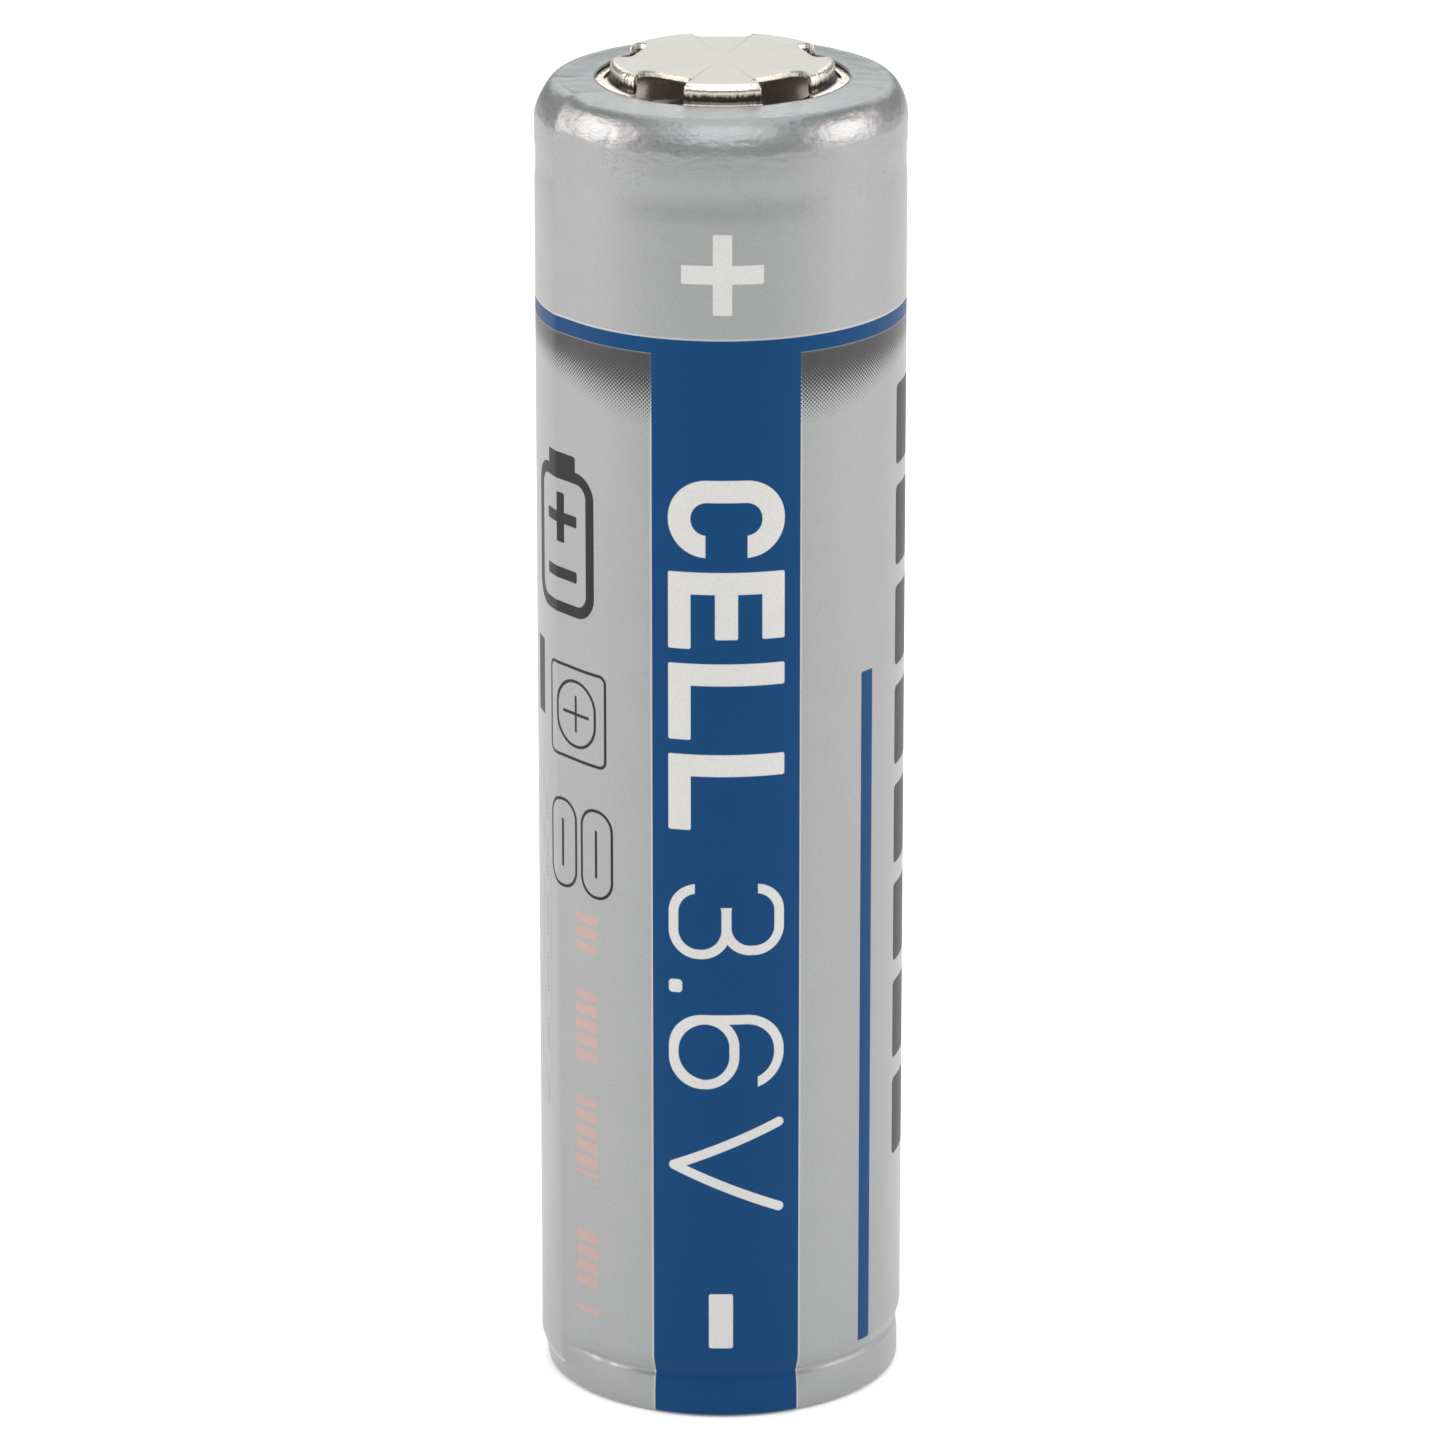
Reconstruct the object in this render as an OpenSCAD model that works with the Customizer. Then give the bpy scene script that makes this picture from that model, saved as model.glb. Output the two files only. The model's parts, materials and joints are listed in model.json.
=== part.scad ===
// Cylindrical lithium-ion cell with a protection board, in a heat-shrink sleeve.
// The origin is the centre of the negative contact's underside, and +Z points at the positive button.

/* [Overall] */
// Diameter over the sleeve, away from the ridge of the side lead
cell_d = 18.5; // [18.4:0.05:18.7]
// Length from the negative contact to the top of the button
cell_l = 69.5; // [69.2:0.1:70.2]

/* [Sleeve] */
// Thickness of the shrunk sleeve
sleeve_t = 0.15; // [0.15:0.01:0.16]
// Diameter of the sleeve's hole around the button
sleeve_top_hole_d = 12.7; // [12.2:0.1:13.2]
// Diameter of the sleeve's hole around the negative contact
sleeve_base_hole_d = 13.8; // [13.2:0.1:14.4]
// Height of the sleeve's underside above the negative contact's face
sleeve_base_z = 0.08; // [0.05:0.01:0.15]
// How far the sleeve stands in below the crease, where it wraps the board
base_step = 0.15; // [0.1:0.01:0.16]
// How far the crease between the can and the board stands in
crease_depth = 0.23; // [0.18:0.01:0.28]
// Depth of the waist over the can's bead
waist_depth = 0.05; // [0:0.01:0.06]
// How far the ridge over the side lead stands out
ridge_rise = 0.21; // [0.2:0.01:0.22]

/* [Positive button] */
// Diameter of the raised part
button_d = 11.2; // [10.9:0.1:11.4]
// Diameter of the flange
flange_d = 13.2; // [13:0.1:13.2]
// Sheet thickness
button_t = 0.3; // [0.25:0.05:0.3]
// Number of windows
window_count = 5; // [3:1:6]
// Width of a window
window_w = 3.1; // [2.6:0.1:3.4]
// Diameter of the face that the windows leave between them
window_inner_d = 8.86; // [8.4:0.1:9.4]

/* [Side lead] */
// Width of the nickel lead
lead_w = 4; // [3:0.5:5]
// Thickness of the nickel lead
lead_t = 0.1; // [0.08:0.01:0.1]
// Direction of the lead, counter-clockwise from +X
lead_angle = 195.5; // [180:0.5:215]

/* [Bare cell] */
// Thickness of the bare cell's own wrap
wrap_t = 0.06; // [0.05:0.01:0.06]
// Length of the steel can, base to crimp
can_l = 65.25; // [65.1:0.05:65.3]
// Wall thickness of the can
can_t = 0.25; // [0.2:0.05:0.25]
// Height of the can's bead above the can's base
bead_rise = 61.8; // [61.6:0.1:61.8]
// Number of winding turns
turns = 19; // [10:1:19]
// Thickness of one winding turn
pitch = 0.35; // [0.33:0.01:0.35]

/* [Protection board] */
// Thickness of the negative contact disc
contact_t = 0.3; // [0.25:0.05:0.35]
// Diameter of the negative contact disc
contact_d = 12.8; // [12:0.1:13]
// Diameter of the board
board_d = 17.8; // [17.5:0.1:17.8]
// Thickness of the board
board_t = 0.8; // [0.6:0.1:0.8]
// Space between the board and the can
board_gap = 1.6; // [1.6:0.05:1.7]

/* [Hidden] */
$fn = 96;
gap = 0.01;              // space between neighbours that lie on each other
far = 2*cell_d;          // longer than anything across the cell

// Radii, from the outside in
cell_r = cell_d/2;
wrap_r = cell_r - sleeve_t - gap;
can_r = wrap_r - wrap_t;
can_in_r = can_r - can_t;
tape_t = 0.03;           // both tapes of the side lead
lead_in_r = wrap_r + tape_t + gap;
lead_flat = 1.3;         // the stiff lead is curved about a line this far behind the axis

// Heights, from the base up
board_top = contact_t + board_t;
can_z = board_top + board_gap;
can_top = can_z + can_l;
bead_z = can_z + bead_rise;
washer_t = 0.1;
washer_z = can_top + wrap_t;
flange_z = can_top + lead_t;
flange_top = flange_z + button_t;
lap_gap = 0.03;          // between the flange and the sleeve that laps it
lip_z = flange_top + lap_gap + sleeve_t;

// Sleeve outline
base_round = 0.25;
base_r = cell_r - base_step;
crease_r = cell_r - crease_depth;
crease_rise = 1.15;      // from the board's top face to the crease
crease_z = board_top + crease_rise;
wall_z = crease_z + 1;   // where the full diameter begins
waist_half = 1.28;
shoulder_w = 0.93;
shoulder_h = 1.73;
lip_rise = 0.15;         // from the shoulder's top to the edge of the flange
shoulder_z = lip_z - lip_rise - shoulder_h;

// Can outline
can_corner = 1.3;
can_base_corner = 0.6;
bead_out = 0.25;         // how far outside the can the bead's circle is centred
bead_round = 1.3;
crimp_in_r = 7.1;
washer_in_r = 6.9;       // the wrap and the washer both reach in over the crimp

// Header stack, from the crimp down
stack_r = can_in_r - 0.38;
gasket_top = can_top - can_t - gap;
cap_t = 0.45;
cap_z = gasket_top - 0.3 - cap_t;
ptc_t = 0.3;
ptc_z = cap_z - ptc_t;
vent_t = 0.25;
vent_z = ptc_z - vent_t;
gasket_z = bead_z + 1.5;
vent_drop = 0.45;        // how far the disc's middle lies below its rim
dimple_drop = 0.35;
contact_plate_t = 0.3;
contact_plate_z = vent_z - vent_drop - dimple_drop - contact_plate_t;

// Winding
roll_in_r = 1.6;
roll_z = can_z + 0.8;
roll_l = 58.3;
separator_t = 0.03;
cathode_t = 0.13;
anode_t = 0.14;
layer_gap = 0.005;
cathode_off = separator_t + layer_gap;
outer_separator_off = cathode_off + cathode_t + layer_gap;
anode_off = outer_separator_off + separator_t + layer_gap;
roll_out_r = roll_in_r + (turns + 1)*pitch;
tab_t = 0.12;
positive_tab_turn = 8;
negative_tab_turn = turns - 2;

// Board
mosfet_y = 4.9;
chip_x = 5.2;
small_part_x = 5.4;
small_part_y = 3.4;
tab_w = 3;

// Shared shapes

function ease(a, b, t) = a + (b - a)*(1 - cos(180*t))/2;

// Points of a quarter or half ellipse, from angle a0 to angle a1
function arc(cx, cz, rx, rz, a0, a1, n = 8) =
  [for (i = [0:n]) let (a = a0 + (a1 - a0)*i/n) [cx + rx*cos(a), cz + rz*sin(a)]];

// Points of a wall of radius r where it is drawn in over the can's bead
function waist_points(r) =
  [for (i = [-4:4]) [r - waist_depth*pow(cos(22.5*i), 2), bead_z + waist_half*i/4]];

// Points from the board's wrap, in to the crease and out to the full diameter, grown by g
function crease_points(g) = concat(
  [for (t = [0:0.25:1]) [ease(base_r, crease_r, t) + g, ease(board_top, crease_z, t)]],
  [for (t = [0.25:0.25:1]) [ease(crease_r, cell_r, t) + g, ease(crease_z, wall_z, t)]]);

function shoulder_points(g) = concat(
  arc(cell_r - shoulder_w, shoulder_z, shoulder_w + g, shoulder_h + g, 0, 90),
  [[flange_d/2, lip_z + g], [0, lip_z + g]]);

// Half section of the filled sleeve, grown by g
module sleeve_section(g) {
  base = arc(base_r - base_round, sleeve_base_z + base_round, base_round + g,
             base_round + g, -90, 0, 4);
  polygon(concat([[0, sleeve_base_z - g]], base, crease_points(g),
                 waist_points(cell_r + g), shoulder_points(g)));
}

// Half section of the ridge over the side lead, which crosses the crease straight
module ridge_section(g, z) {
  polygon(concat([[0, z], [cell_r + g, z]], shoulder_points(g)));
}

// Half section of a round bar from z0 to z1, with corner radii c0 below and c1 above
module bar_section(r, z0, z1, c0, c1) {
  half = (z1 - z0)/2;
  translate([0, z0 + c0]) square([r, z1 - z0 - c0 - c1]);
  translate([0, z0]) square([r - c0, half]);
  translate([r - c0, z0 + c0]) circle(c0);
  translate([0, z0 + half]) square([r - c1, half]);
  translate([r - c1, z1 - c1]) circle(c1);
}

// Half section of the filled can, grown by g
module can_section(g) {
  difference() {
    bar_section(can_r + g, can_z - g, can_top + g, can_base_corner + g, can_corner + g);
    translate([can_r + bead_out, bead_z]) circle(bead_round - g);
  }
}

// A straight-sided slice of the cell along the side lead, from radius x outwards
module lead_slice(w, x, z0, z1) {
  rotate([0, 0, lead_angle]) translate([x, -w/2, z0]) cube([far, w, z1 - z0]);
}

module ring(r_in, r_out, z, h) {
  rotate_extrude() translate([r_in, z]) square([r_out - r_in, h]);
}

// Shapes drawn as if round the axis, curved about the lead's own flatter line and cut to width w
module lead_curve(w, z0, z1) {
  intersection() {
    rotate([0, 0, lead_angle]) translate([-lead_flat, 0, 0]) rotate_extrude()
      translate([lead_flat, 0]) children();
    lead_slice(w, 0, z0, z1);
  }
}

module tape(r, w, z0, z1) {
  lead_curve(w, z0, z1) translate([r, z0]) square([tape_t, z1 - z0]);
}

// Sleeve and lead

module outer_sleeve() {
  ridge_z = board_top - 0.2;
  ridge_x = cell_r - 0.85;
  ridge_in_w = lead_w + 0.3;
  color([0.78, 0.79, 0.81]) difference() {
    union() {
      rotate_extrude() sleeve_section(0);
      intersection() {
        rotate_extrude() ridge_section(ridge_rise, ridge_z);
        lead_slice(ridge_in_w + 2*sleeve_t, ridge_x, ridge_z, cell_l);
      }
    }
    rotate_extrude() sleeve_section(-sleeve_t);
    intersection() {
      rotate_extrude() ridge_section(ridge_rise - sleeve_t, ridge_z + sleeve_t);
      lead_slice(ridge_in_w, ridge_x, ridge_z + sleeve_t, cell_l);
    }
    translate([0, 0, can_top]) cylinder(d = sleeve_top_hole_d, h = far);
    translate([0, 0, -1]) cylinder(d = sleeve_base_hole_d, h = 1 + contact_t);
  }
}

module positive_lead_strip() {
  bend = can_corner + washer_t - gap;
  bend_r = lead_in_r - bend;
  over_z = washer_z + washer_t;
  module face(g) {
    polygon(concat([[0, board_top + lead_t - g], [lead_in_r + g, board_top + lead_t - g]],
      arc(bend_r, over_z - bend, bend + g, bend + g, 0, 90),
      [[flange_d/2 + 0.22, over_z + g], [flange_d/2 + 0.02, can_top + g], [0, can_top + g]]));
  }
  foot_r = 6.4;
  color([0.75, 0.74, 0.72]) lead_curve(lead_w, 0, cell_l) difference() {
    face(lead_t);
    face(0);
    translate([0, board_top - 1]) square([foot_r, 2]);
  }
}

module strip_backing_tape() {
  color([0.85, 0.62, 0.2]) tape(wrap_r + gap/2, lead_w + 0.2, wall_z, can_top - can_corner);
}

module strip_cover_tape() {
  color([0.9, 0.88, 0.8]) tape(lead_in_r + lead_t + gap/2, lead_w + 0.2, wall_z, bead_z - 3);
}

module inner_wrap() {
  wrap_base_r = 6.5;
  color([0.2, 0.55, 0.35]) rotate_extrude() difference() {
    intersection() {
      bar_section(wrap_r, can_z - wrap_t, washer_z, can_base_corner + wrap_t,
                  can_corner + wrap_t);
      polygon(concat([[0, 0], [wrap_r, 0]], waist_points(wrap_r), [[wrap_r, cell_l], [0, cell_l]]));
    }
    intersection() {
      bar_section(can_r, can_z, can_top, can_base_corner, can_corner);
      polygon(concat([[0, 0], [can_r, 0]], waist_points(can_r), [[can_r, cell_l], [0, cell_l]]));
    }
    translate([0, can_z - 1]) square([wrap_base_r, 2]);
    translate([0, can_top - 1]) square([washer_in_r, 2]);
  }
}

// Positive end

module window_shape() {
  corner = 0.5;
  inner = window_inner_d/2;
  outer = button_d/2 + 0.35;
  translate([inner + corner, -window_w/2]) square([outer - inner - corner, window_w]);
  translate([inner, corner - window_w/2]) square([outer - inner, window_w - 2*corner]);
  for (side = [-1, 1])
    translate([inner + corner, side*(window_w/2 - corner)]) circle(corner, $fn = 32);
}

module positive_button() {
  fillet = 0.35;
  color([0.72, 0.69, 0.64]) difference() {
    rotate_extrude() {
      difference() {
        bar_section(button_d/2, flange_z, cell_l, 0.01, 0.45);
        translate([0, flange_z - 1]) square([button_d/2 - button_t, 1.5]);
        bar_section(button_d/2 - button_t, flange_z, cell_l - button_t, 0.01, 0.15);
      }
      translate([button_d/2 - 0.1, flange_z]) square([(flange_d - button_d)/2 + 0.1, button_t]);
      translate([button_d/2, flange_top]) difference() {
        square(fillet);
        translate([fillet, fillet]) circle(fillet, $fn = 32);
      }
    }
    for (i = [0:window_count - 1])
      rotate([0, 0, 90 + 360*i/window_count]) translate([0, 0, flange_z - 1])
        linear_extrude(cell_l - flange_z + 2) intersection() {
          window_shape();
          circle(button_d/2 + fillet);
        }
  }
}

module insulating_washer() {
  color([0.93, 0.92, 0.88]) ring(washer_in_r, can_r - can_corner, washer_z, washer_t);
}

module cell_cap() {
  rise_r = 4.6;
  window = 1.4;
  color([0.7, 0.7, 0.7]) difference() {
    rotate_extrude() polygon([[0, can_top], [rise_r, can_top], [rise_r + 0.1, cap_z + cap_t],
      [stack_r, cap_z + cap_t], [stack_r, cap_z], [rise_r - cap_t, cap_z],
      [rise_r - cap_t, can_top - cap_t], [0, can_top - cap_t]]);
    for (a = [45:90:315]) rotate([0, 0, a])
      translate([rise_r - 1, -window/2, cap_z + cap_t]) cube([2, window, 0.12]);
  }
}

module header_gasket() {
  gasket_in_r = 6.6;
  color([0.86, 0.87, 0.82]) rotate_extrude() difference() {
    intersection() {
      bar_section(can_in_r - gap, can_z, gasket_top, can_base_corner, can_corner - can_t);
      translate([gasket_in_r, gasket_z]) square([far, far]);
    }
    translate([0, vent_z]) square([stack_r + gap, cap_z + cap_t - vent_z]);
    translate([0, cap_z]) square([crimp_in_r, far]);
  }
}

module ptc_ring() {
  color([0.25, 0.25, 0.27]) ring(5.4, stack_r, ptc_z, ptc_t);
}

module vent_disc() {
  low = vent_z - vent_drop;
  deep = low - dimple_drop;
  score_r = 3.6;
  color([0.8, 0.81, 0.82]) rotate_extrude() difference() {
    polygon([[0, deep], [1.4, deep], [1.8, low], [5.35, low], [5.65, vent_z],
      [stack_r, vent_z], [stack_r, vent_z + vent_t], [5.5, vent_z + vent_t],
      [5.2, low + vent_t], [1.7, low + vent_t], [1.25, deep + vent_t], [0, deep + vent_t]]);
    translate([score_r, low + vent_t/2]) square([0.25, vent_t]);
  }
}

module vent_insulator() {
  color([0.9, 0.9, 0.86]) ring(2.6, 5.3, contact_plate_z + contact_plate_t, dimple_drop);
}

module vent_contact_plate() {
  color([0.78, 0.79, 0.8]) difference() {
    translate([0, 0, contact_plate_z]) cylinder(r = 5.6, h = contact_plate_t);
    for (a = [0:60:300]) rotate([0, 0, a])
      translate([2.05, 0, contact_plate_z - 1]) cylinder(r = 0.35, h = 3, $fn = 24);
  }
}

// Winding

// Half of a ring on the positive-Y side
module half_ring(r, t) {
  difference() {
    circle(r + t);
    circle(r);
    translate([-far/2, -far]) square([far, far]);
  }
}

// A wound sheet: its half turns are centred in turn on the axis and half a pitch from it
module wound_sheet(off, t, trim) {
  r = roll_in_r + off;
  translate([0, 0, roll_z + trim]) linear_extrude(roll_l - 2*trim)
    for (k = [0:turns - 1]) {
      half_ring(r + k*pitch, t);
      translate([pitch/2, 0]) rotate(180) half_ring(r + (k + 0.5)*pitch, t);
    }
}

module inner_separator() {
  color([0.95, 0.95, 0.93]) wound_sheet(0, separator_t, 0);
}

module cathode_sheet() {
  color([0.2, 0.2, 0.22]) wound_sheet(cathode_off, cathode_t, 1);
}

module outer_separator() {
  color([0.93, 0.93, 0.95]) wound_sheet(outer_separator_off, separator_t, 0);
}

module anode_sheet() {
  color([0.35, 0.28, 0.24]) wound_sheet(anode_off, anode_t, 0.5);
}

module roll_closing_tape() {
  color([0.75, 0.85, 0.6]) translate([0, 0, roll_z + 1]) linear_extrude(roll_l - 2)
    intersection() {
      half_ring(roll_out_r + gap, 0.05);
      translate([roll_out_r/4, 0]) square(roll_out_r);
    }
}

module centre_pin() {
  color([0.7, 0.71, 0.72]) ring(1.1, 1.35, roll_z + 0.5, roll_l - 1);
}

// A strip cut from the wall of a tube, centred on +Y
module curved_strip(r, t, w, z, h) {
  translate([0, 0, z]) linear_extrude(h) intersection() {
    half_ring(r, t);
    translate([-w/2, 0]) square([w, far]);
  }
}

module positive_tab() {
  r = roll_in_r + cathode_off + positive_tab_turn*pitch;
  foot = roll_z + roll_l - 1;
  top = contact_plate_z;
  color([0.82, 0.83, 0.84]) {
    curved_strip(r, tab_t, tab_w, foot, top - foot);
    translate([-tab_w/2, -2, top - tab_t]) cube([tab_w, 2 + r + tab_t/2, tab_t]);
  }
}

module negative_tab() {
  r = roll_in_r + anode_off + negative_tab_turn*pitch;
  foot = can_z + can_t;
  color([0.74, 0.73, 0.7]) {
    curved_strip(r, tab_t, tab_w, foot, roll_z + 0.5 - foot);
    translate([-tab_w/2, -1.5, foot]) cube([tab_w, 1.5 + r + tab_t/2, tab_t]);
  }
}

module upper_insulator() {
  z = roll_z + roll_l + 0.2;
  slot_r = roll_in_r + cathode_off + positive_tab_turn*pitch;
  color([0.85, 0.3, 0.2]) difference() {
    translate([0, 0, z]) cylinder(r = can_in_r - 0.23, h = 0.2);
    translate([0, 0, z - 1]) cylinder(r = 1.6, h = 3);
    translate([-tab_w/2 - 0.2, slot_r - 0.6, z - 1]) cube([tab_w + 0.4, 1, 3]);
    for (a = [200, 270, 340]) rotate([0, 0, a])
      translate([5.4, 0, z - 1]) cylinder(r = 0.9, h = 3, $fn = 48);
  }
}

module lower_insulator() {
  z = can_z + can_t + tab_t + 0.05;
  color([0.9, 0.88, 0.8]) ring(1.4, roll_in_r + negative_tab_turn*pitch, z, 0.2);
}

// Steel can

module steel_can() {
  color([0.66, 0.67, 0.68]) rotate_extrude() difference() {
    can_section(0);
    can_section(-can_t);
    translate([0, can_top - can_corner]) square([crimp_in_r, far]);
  }
}

// Negative end

module can_base_insulator() {
  color([0.88, 0.86, 0.78]) ring(3, can_r - 0.9, can_z - wrap_t - 0.12, 0.11);
}

module negative_lead_tab() {
  reach = 2.4;
  color([0.75, 0.74, 0.71]) translate([0, tab_w/2, 0]) rotate([90, 0, 0]) linear_extrude(tab_w) {
    translate([-reach, can_z - tab_t]) square([2*reach, tab_t]);
    translate([reach - tab_t, board_top]) square([tab_t, can_z - board_top]);
    translate([-reach/2, board_top]) square([1.5*reach, tab_t]);
  }
}

module board_spacer_ring() {
  color([0.92, 0.92, 0.9]) difference() {
    ring(7.9, 8.6, board_top, can_z - wrap_t - 0.13 - board_top);
    lead_slice(lead_w + 0.4, 0, board_top - 1, board_top + 2*lead_t);
  }
}

module protection_board() {
  color([0.12, 0.42, 0.25]) difference() {
    translate([0, 0, contact_t]) cylinder(d = board_d, h = board_t);
    lead_slice(lead_w + 0.4, board_d/2 - 0.25, 0, far);
  }
}

// A moulded package with gull-wing pins along both long sides
module package(body_x, body_y, body_z, pins, pin_pitch, span) {
  pin_w = 0.26;
  pin_t = 0.15;
  drop_t = 0.12;
  bend_z = 0.45;
  root = body_x/2 - 0.05;
  knee = body_x/2 + 0.25;
  translate([-body_x/2, -body_y/2, 0.1]) cube([body_x, body_y, body_z]);
  for (side = [0, 180])
    for (i = [0:pins - 1])
      rotate([0, 0, side]) translate([0, (i - (pins - 1)/2)*pin_pitch - pin_w/2, 0]) {
        translate([knee, 0, 0]) cube([span/2 - knee, pin_w, pin_t]);
        translate([knee - drop_t, 0, 0]) cube([drop_t, pin_w, bend_z + pin_t]);
        translate([root, 0, bend_z]) cube([knee - root, pin_w, pin_t]);
      }
}

module power_mosfets() {
  color([0.13, 0.13, 0.14]) for (side = [-1, 1])
    translate([0, side*mosfet_y, board_top]) package(4.4, 3, 0.9, 4, 0.65, 6.4);
}

module protection_chip() {
  color([0.13, 0.13, 0.14]) translate([chip_x, 0, board_top]) package(1.6, 2.9, 1, 3, 0.95, 2.8);
}

// A chip part of height h, centred on its foot
module chip_part(h) {
  translate([-0.8, -0.4, 0]) cube([1.6, 0.8, h]);
}

module board_resistors() {
  color([0.2, 0.2, 0.22]) for (side = [-1, 1])
    translate([small_part_x, side*small_part_y, board_top]) chip_part(0.45);
}

module board_capacitor() {
  color([0.65, 0.5, 0.35]) translate([-small_part_x, small_part_y, board_top]) chip_part(0.8);
}

// A flat dome of solder with its foot at height z
module solder_dome(r, h, z) {
  ball = (r*r + h*h)/(2*h);
  intersection() {
    translate([0, 0, z + h - ball]) sphere(ball);
    translate([0, 0, z]) cylinder(r = r, h = h);
  }
}

module solder_joints() {
  color([0.8, 0.8, 0.82]) {
    rotate([0, 0, lead_angle]) translate([7.1, 0, 0]) solder_dome(0.7, 0.4, board_top + lead_t);
    translate([0.4, 0, 0]) solder_dome(1, 0.4, board_top + tab_t);
  }
}

module negative_contact_disc() {
  edge = 0.08;
  color([0.76, 0.75, 0.72]) rotate_extrude()
    bar_section(contact_d/2, 0, contact_t, edge, edge);
}

outer_sleeve();
positive_button();
insulating_washer();
positive_lead_strip();
strip_backing_tape();
strip_cover_tape();
inner_wrap();
steel_can();
header_gasket();
cell_cap();
ptc_ring();
vent_disc();
vent_insulator();
vent_contact_plate();
positive_tab();
upper_insulator();
cathode_sheet();
anode_sheet();
inner_separator();
outer_separator();
roll_closing_tape();
centre_pin();
lower_insulator();
negative_tab();
can_base_insulator();
negative_lead_tab();
board_spacer_ring();
protection_board();
power_mosfets();
protection_chip();
board_resistors();
board_capacitor();
solder_joints();
negative_contact_disc();
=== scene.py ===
import json
import math

import bpy
import bmesh
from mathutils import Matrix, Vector


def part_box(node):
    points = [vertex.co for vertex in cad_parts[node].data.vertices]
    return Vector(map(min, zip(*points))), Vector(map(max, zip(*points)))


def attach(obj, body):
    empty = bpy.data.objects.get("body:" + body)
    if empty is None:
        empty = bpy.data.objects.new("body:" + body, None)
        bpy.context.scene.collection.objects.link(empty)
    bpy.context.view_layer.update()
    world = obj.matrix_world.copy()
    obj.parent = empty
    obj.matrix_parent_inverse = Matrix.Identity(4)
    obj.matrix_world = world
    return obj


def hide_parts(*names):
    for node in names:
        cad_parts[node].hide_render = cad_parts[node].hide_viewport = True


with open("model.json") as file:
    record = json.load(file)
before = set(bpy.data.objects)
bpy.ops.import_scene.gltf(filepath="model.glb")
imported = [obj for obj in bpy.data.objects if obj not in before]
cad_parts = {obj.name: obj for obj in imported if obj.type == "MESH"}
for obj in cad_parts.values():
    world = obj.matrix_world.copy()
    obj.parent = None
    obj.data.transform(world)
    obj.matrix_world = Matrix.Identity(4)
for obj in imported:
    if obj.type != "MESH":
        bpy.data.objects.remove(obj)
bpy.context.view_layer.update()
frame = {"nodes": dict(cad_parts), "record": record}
nodes = frame["nodes"]
scene = bpy.context.scene
mm = 0.001
sleeveLow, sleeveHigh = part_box("outer_sleeve")
buttonLow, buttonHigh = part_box("positive_button")
contactLow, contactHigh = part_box("negative_contact_disc")
wallR = sleeveHigh.x                       # the plain wall, away from the ridge
print("frame loaded:", len(nodes), "nodes")


# Small helpers

def colour(code):                          # "aabbcc" as a shader reads it
    channels = [int(code[i:i + 2], 16) / 255 for i in (0, 2, 4)]
    return [c / 12.92 if c < 0.04045 else ((c + 0.055) / 1.055) ** 2.4 for c in channels] + [1.0]


def smooth(t):
    return t * t * (3 - 2 * t)


def addNode(tree, kind, **settings):
    node = tree.nodes.new(kind)
    for name, value in settings.items():
        setattr(node, name, value)
    return node


def feed(tree, socket, value):             # a plain value, or a link from another node
    if isinstance(value, bpy.types.NodeSocket):
        tree.links.new(value, socket)
    else:
        socket.default_value = value


def calc(tree, operation, *values, clamp=False):
    node = addNode(tree, "ShaderNodeMath", operation=operation, use_clamp=clamp)
    for socket, value in zip(node.inputs, values):
        feed(tree, socket, value)
    return node.outputs[0]


def vecCalc(tree, operation, *values):
    node = addNode(tree, "ShaderNodeVectorMath", operation=operation)
    for socket, value in zip(node.inputs, values):
        feed(tree, socket, value)
    return node.outputs["Value"] if operation in ("LENGTH", "DOT_PRODUCT") else node.outputs[0]


def vector(tree, x, y, z=0.0):
    node = addNode(tree, "ShaderNodeCombineXYZ")
    for socket, value in zip(node.inputs, (x, y, z)):
        feed(tree, socket, value)
    return node.outputs[0]


def split(tree, value):
    node = addNode(tree, "ShaderNodeSeparateXYZ")
    feed(tree, node.inputs[0], value)
    return node.outputs


def ramp(tree, value, low, high, toLow=0.0, toHigh=1.0):      # a smooth step between two values
    node = addNode(tree, "ShaderNodeMapRange", interpolation_type="SMOOTHSTEP")
    for name, v in (("Value", value), ("From Min", low), ("From Max", high),
                    ("To Min", toLow), ("To Max", toHigh)):
        feed(tree, node.inputs[name], v)
    return node.outputs[0]


def combine(tree, operation, values):      # one operation over any number of values
    result = values[0]
    for v in values[1:]:
        result = calc(tree, operation, result, v)
    return result


def add(tree, *values):
    return combine(tree, "ADD", values)


def multiply(tree, *values):
    return combine(tree, "MULTIPLY", values)


def smallest(tree, *values):
    return combine(tree, "MINIMUM", values)


def largest(tree, *values):
    return combine(tree, "MAXIMUM", values)


def subtract(tree, value, part, clamp=False):
    return calc(tree, "SUBTRACT", value, part, clamp=clamp)


def divide(tree, value, part, clamp=False):
    return calc(tree, "DIVIDE", value, part, clamp=clamp)


def absolute(tree, value):
    return calc(tree, "ABSOLUTE", value)


def newGroup(name, kind, ins, outs):       # ins and outs: (name, socket type), and a default if it has one
    tree = bpy.data.node_groups.new(name, kind)
    for direction, sockets in (("INPUT", ins), ("OUTPUT", outs)):
        for label, socketType, *default in sockets:
            socket = tree.interface.new_socket(label, in_out=direction, socket_type="NodeSocket" + socketType)
            if default:
                socket.default_value = default[0]
    return tree, addNode(tree, "NodeGroupInput").outputs, addNode(tree, "NodeGroupOutput").inputs


def useGroup(tree, group, values):
    kind = "GeometryNodeGroup" if tree.bl_idname == "GeometryNodeTree" else "ShaderNodeGroup"
    node = addNode(tree, kind, node_tree=group)
    for label, value in values.items():
        feed(tree, node.inputs[label], value)
    return node.outputs


def setInput(modifier, label, value):
    for item in modifier.node_group.interface.items_tree:
        if item.item_type == "SOCKET" and item.in_out == "INPUT" and item.name == label:
            modifier[item.identifier] = value


def newObject(name, mesh):
    thing = bpy.data.objects.new(name, mesh)
    scene.collection.objects.link(thing)
    return thing


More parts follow.
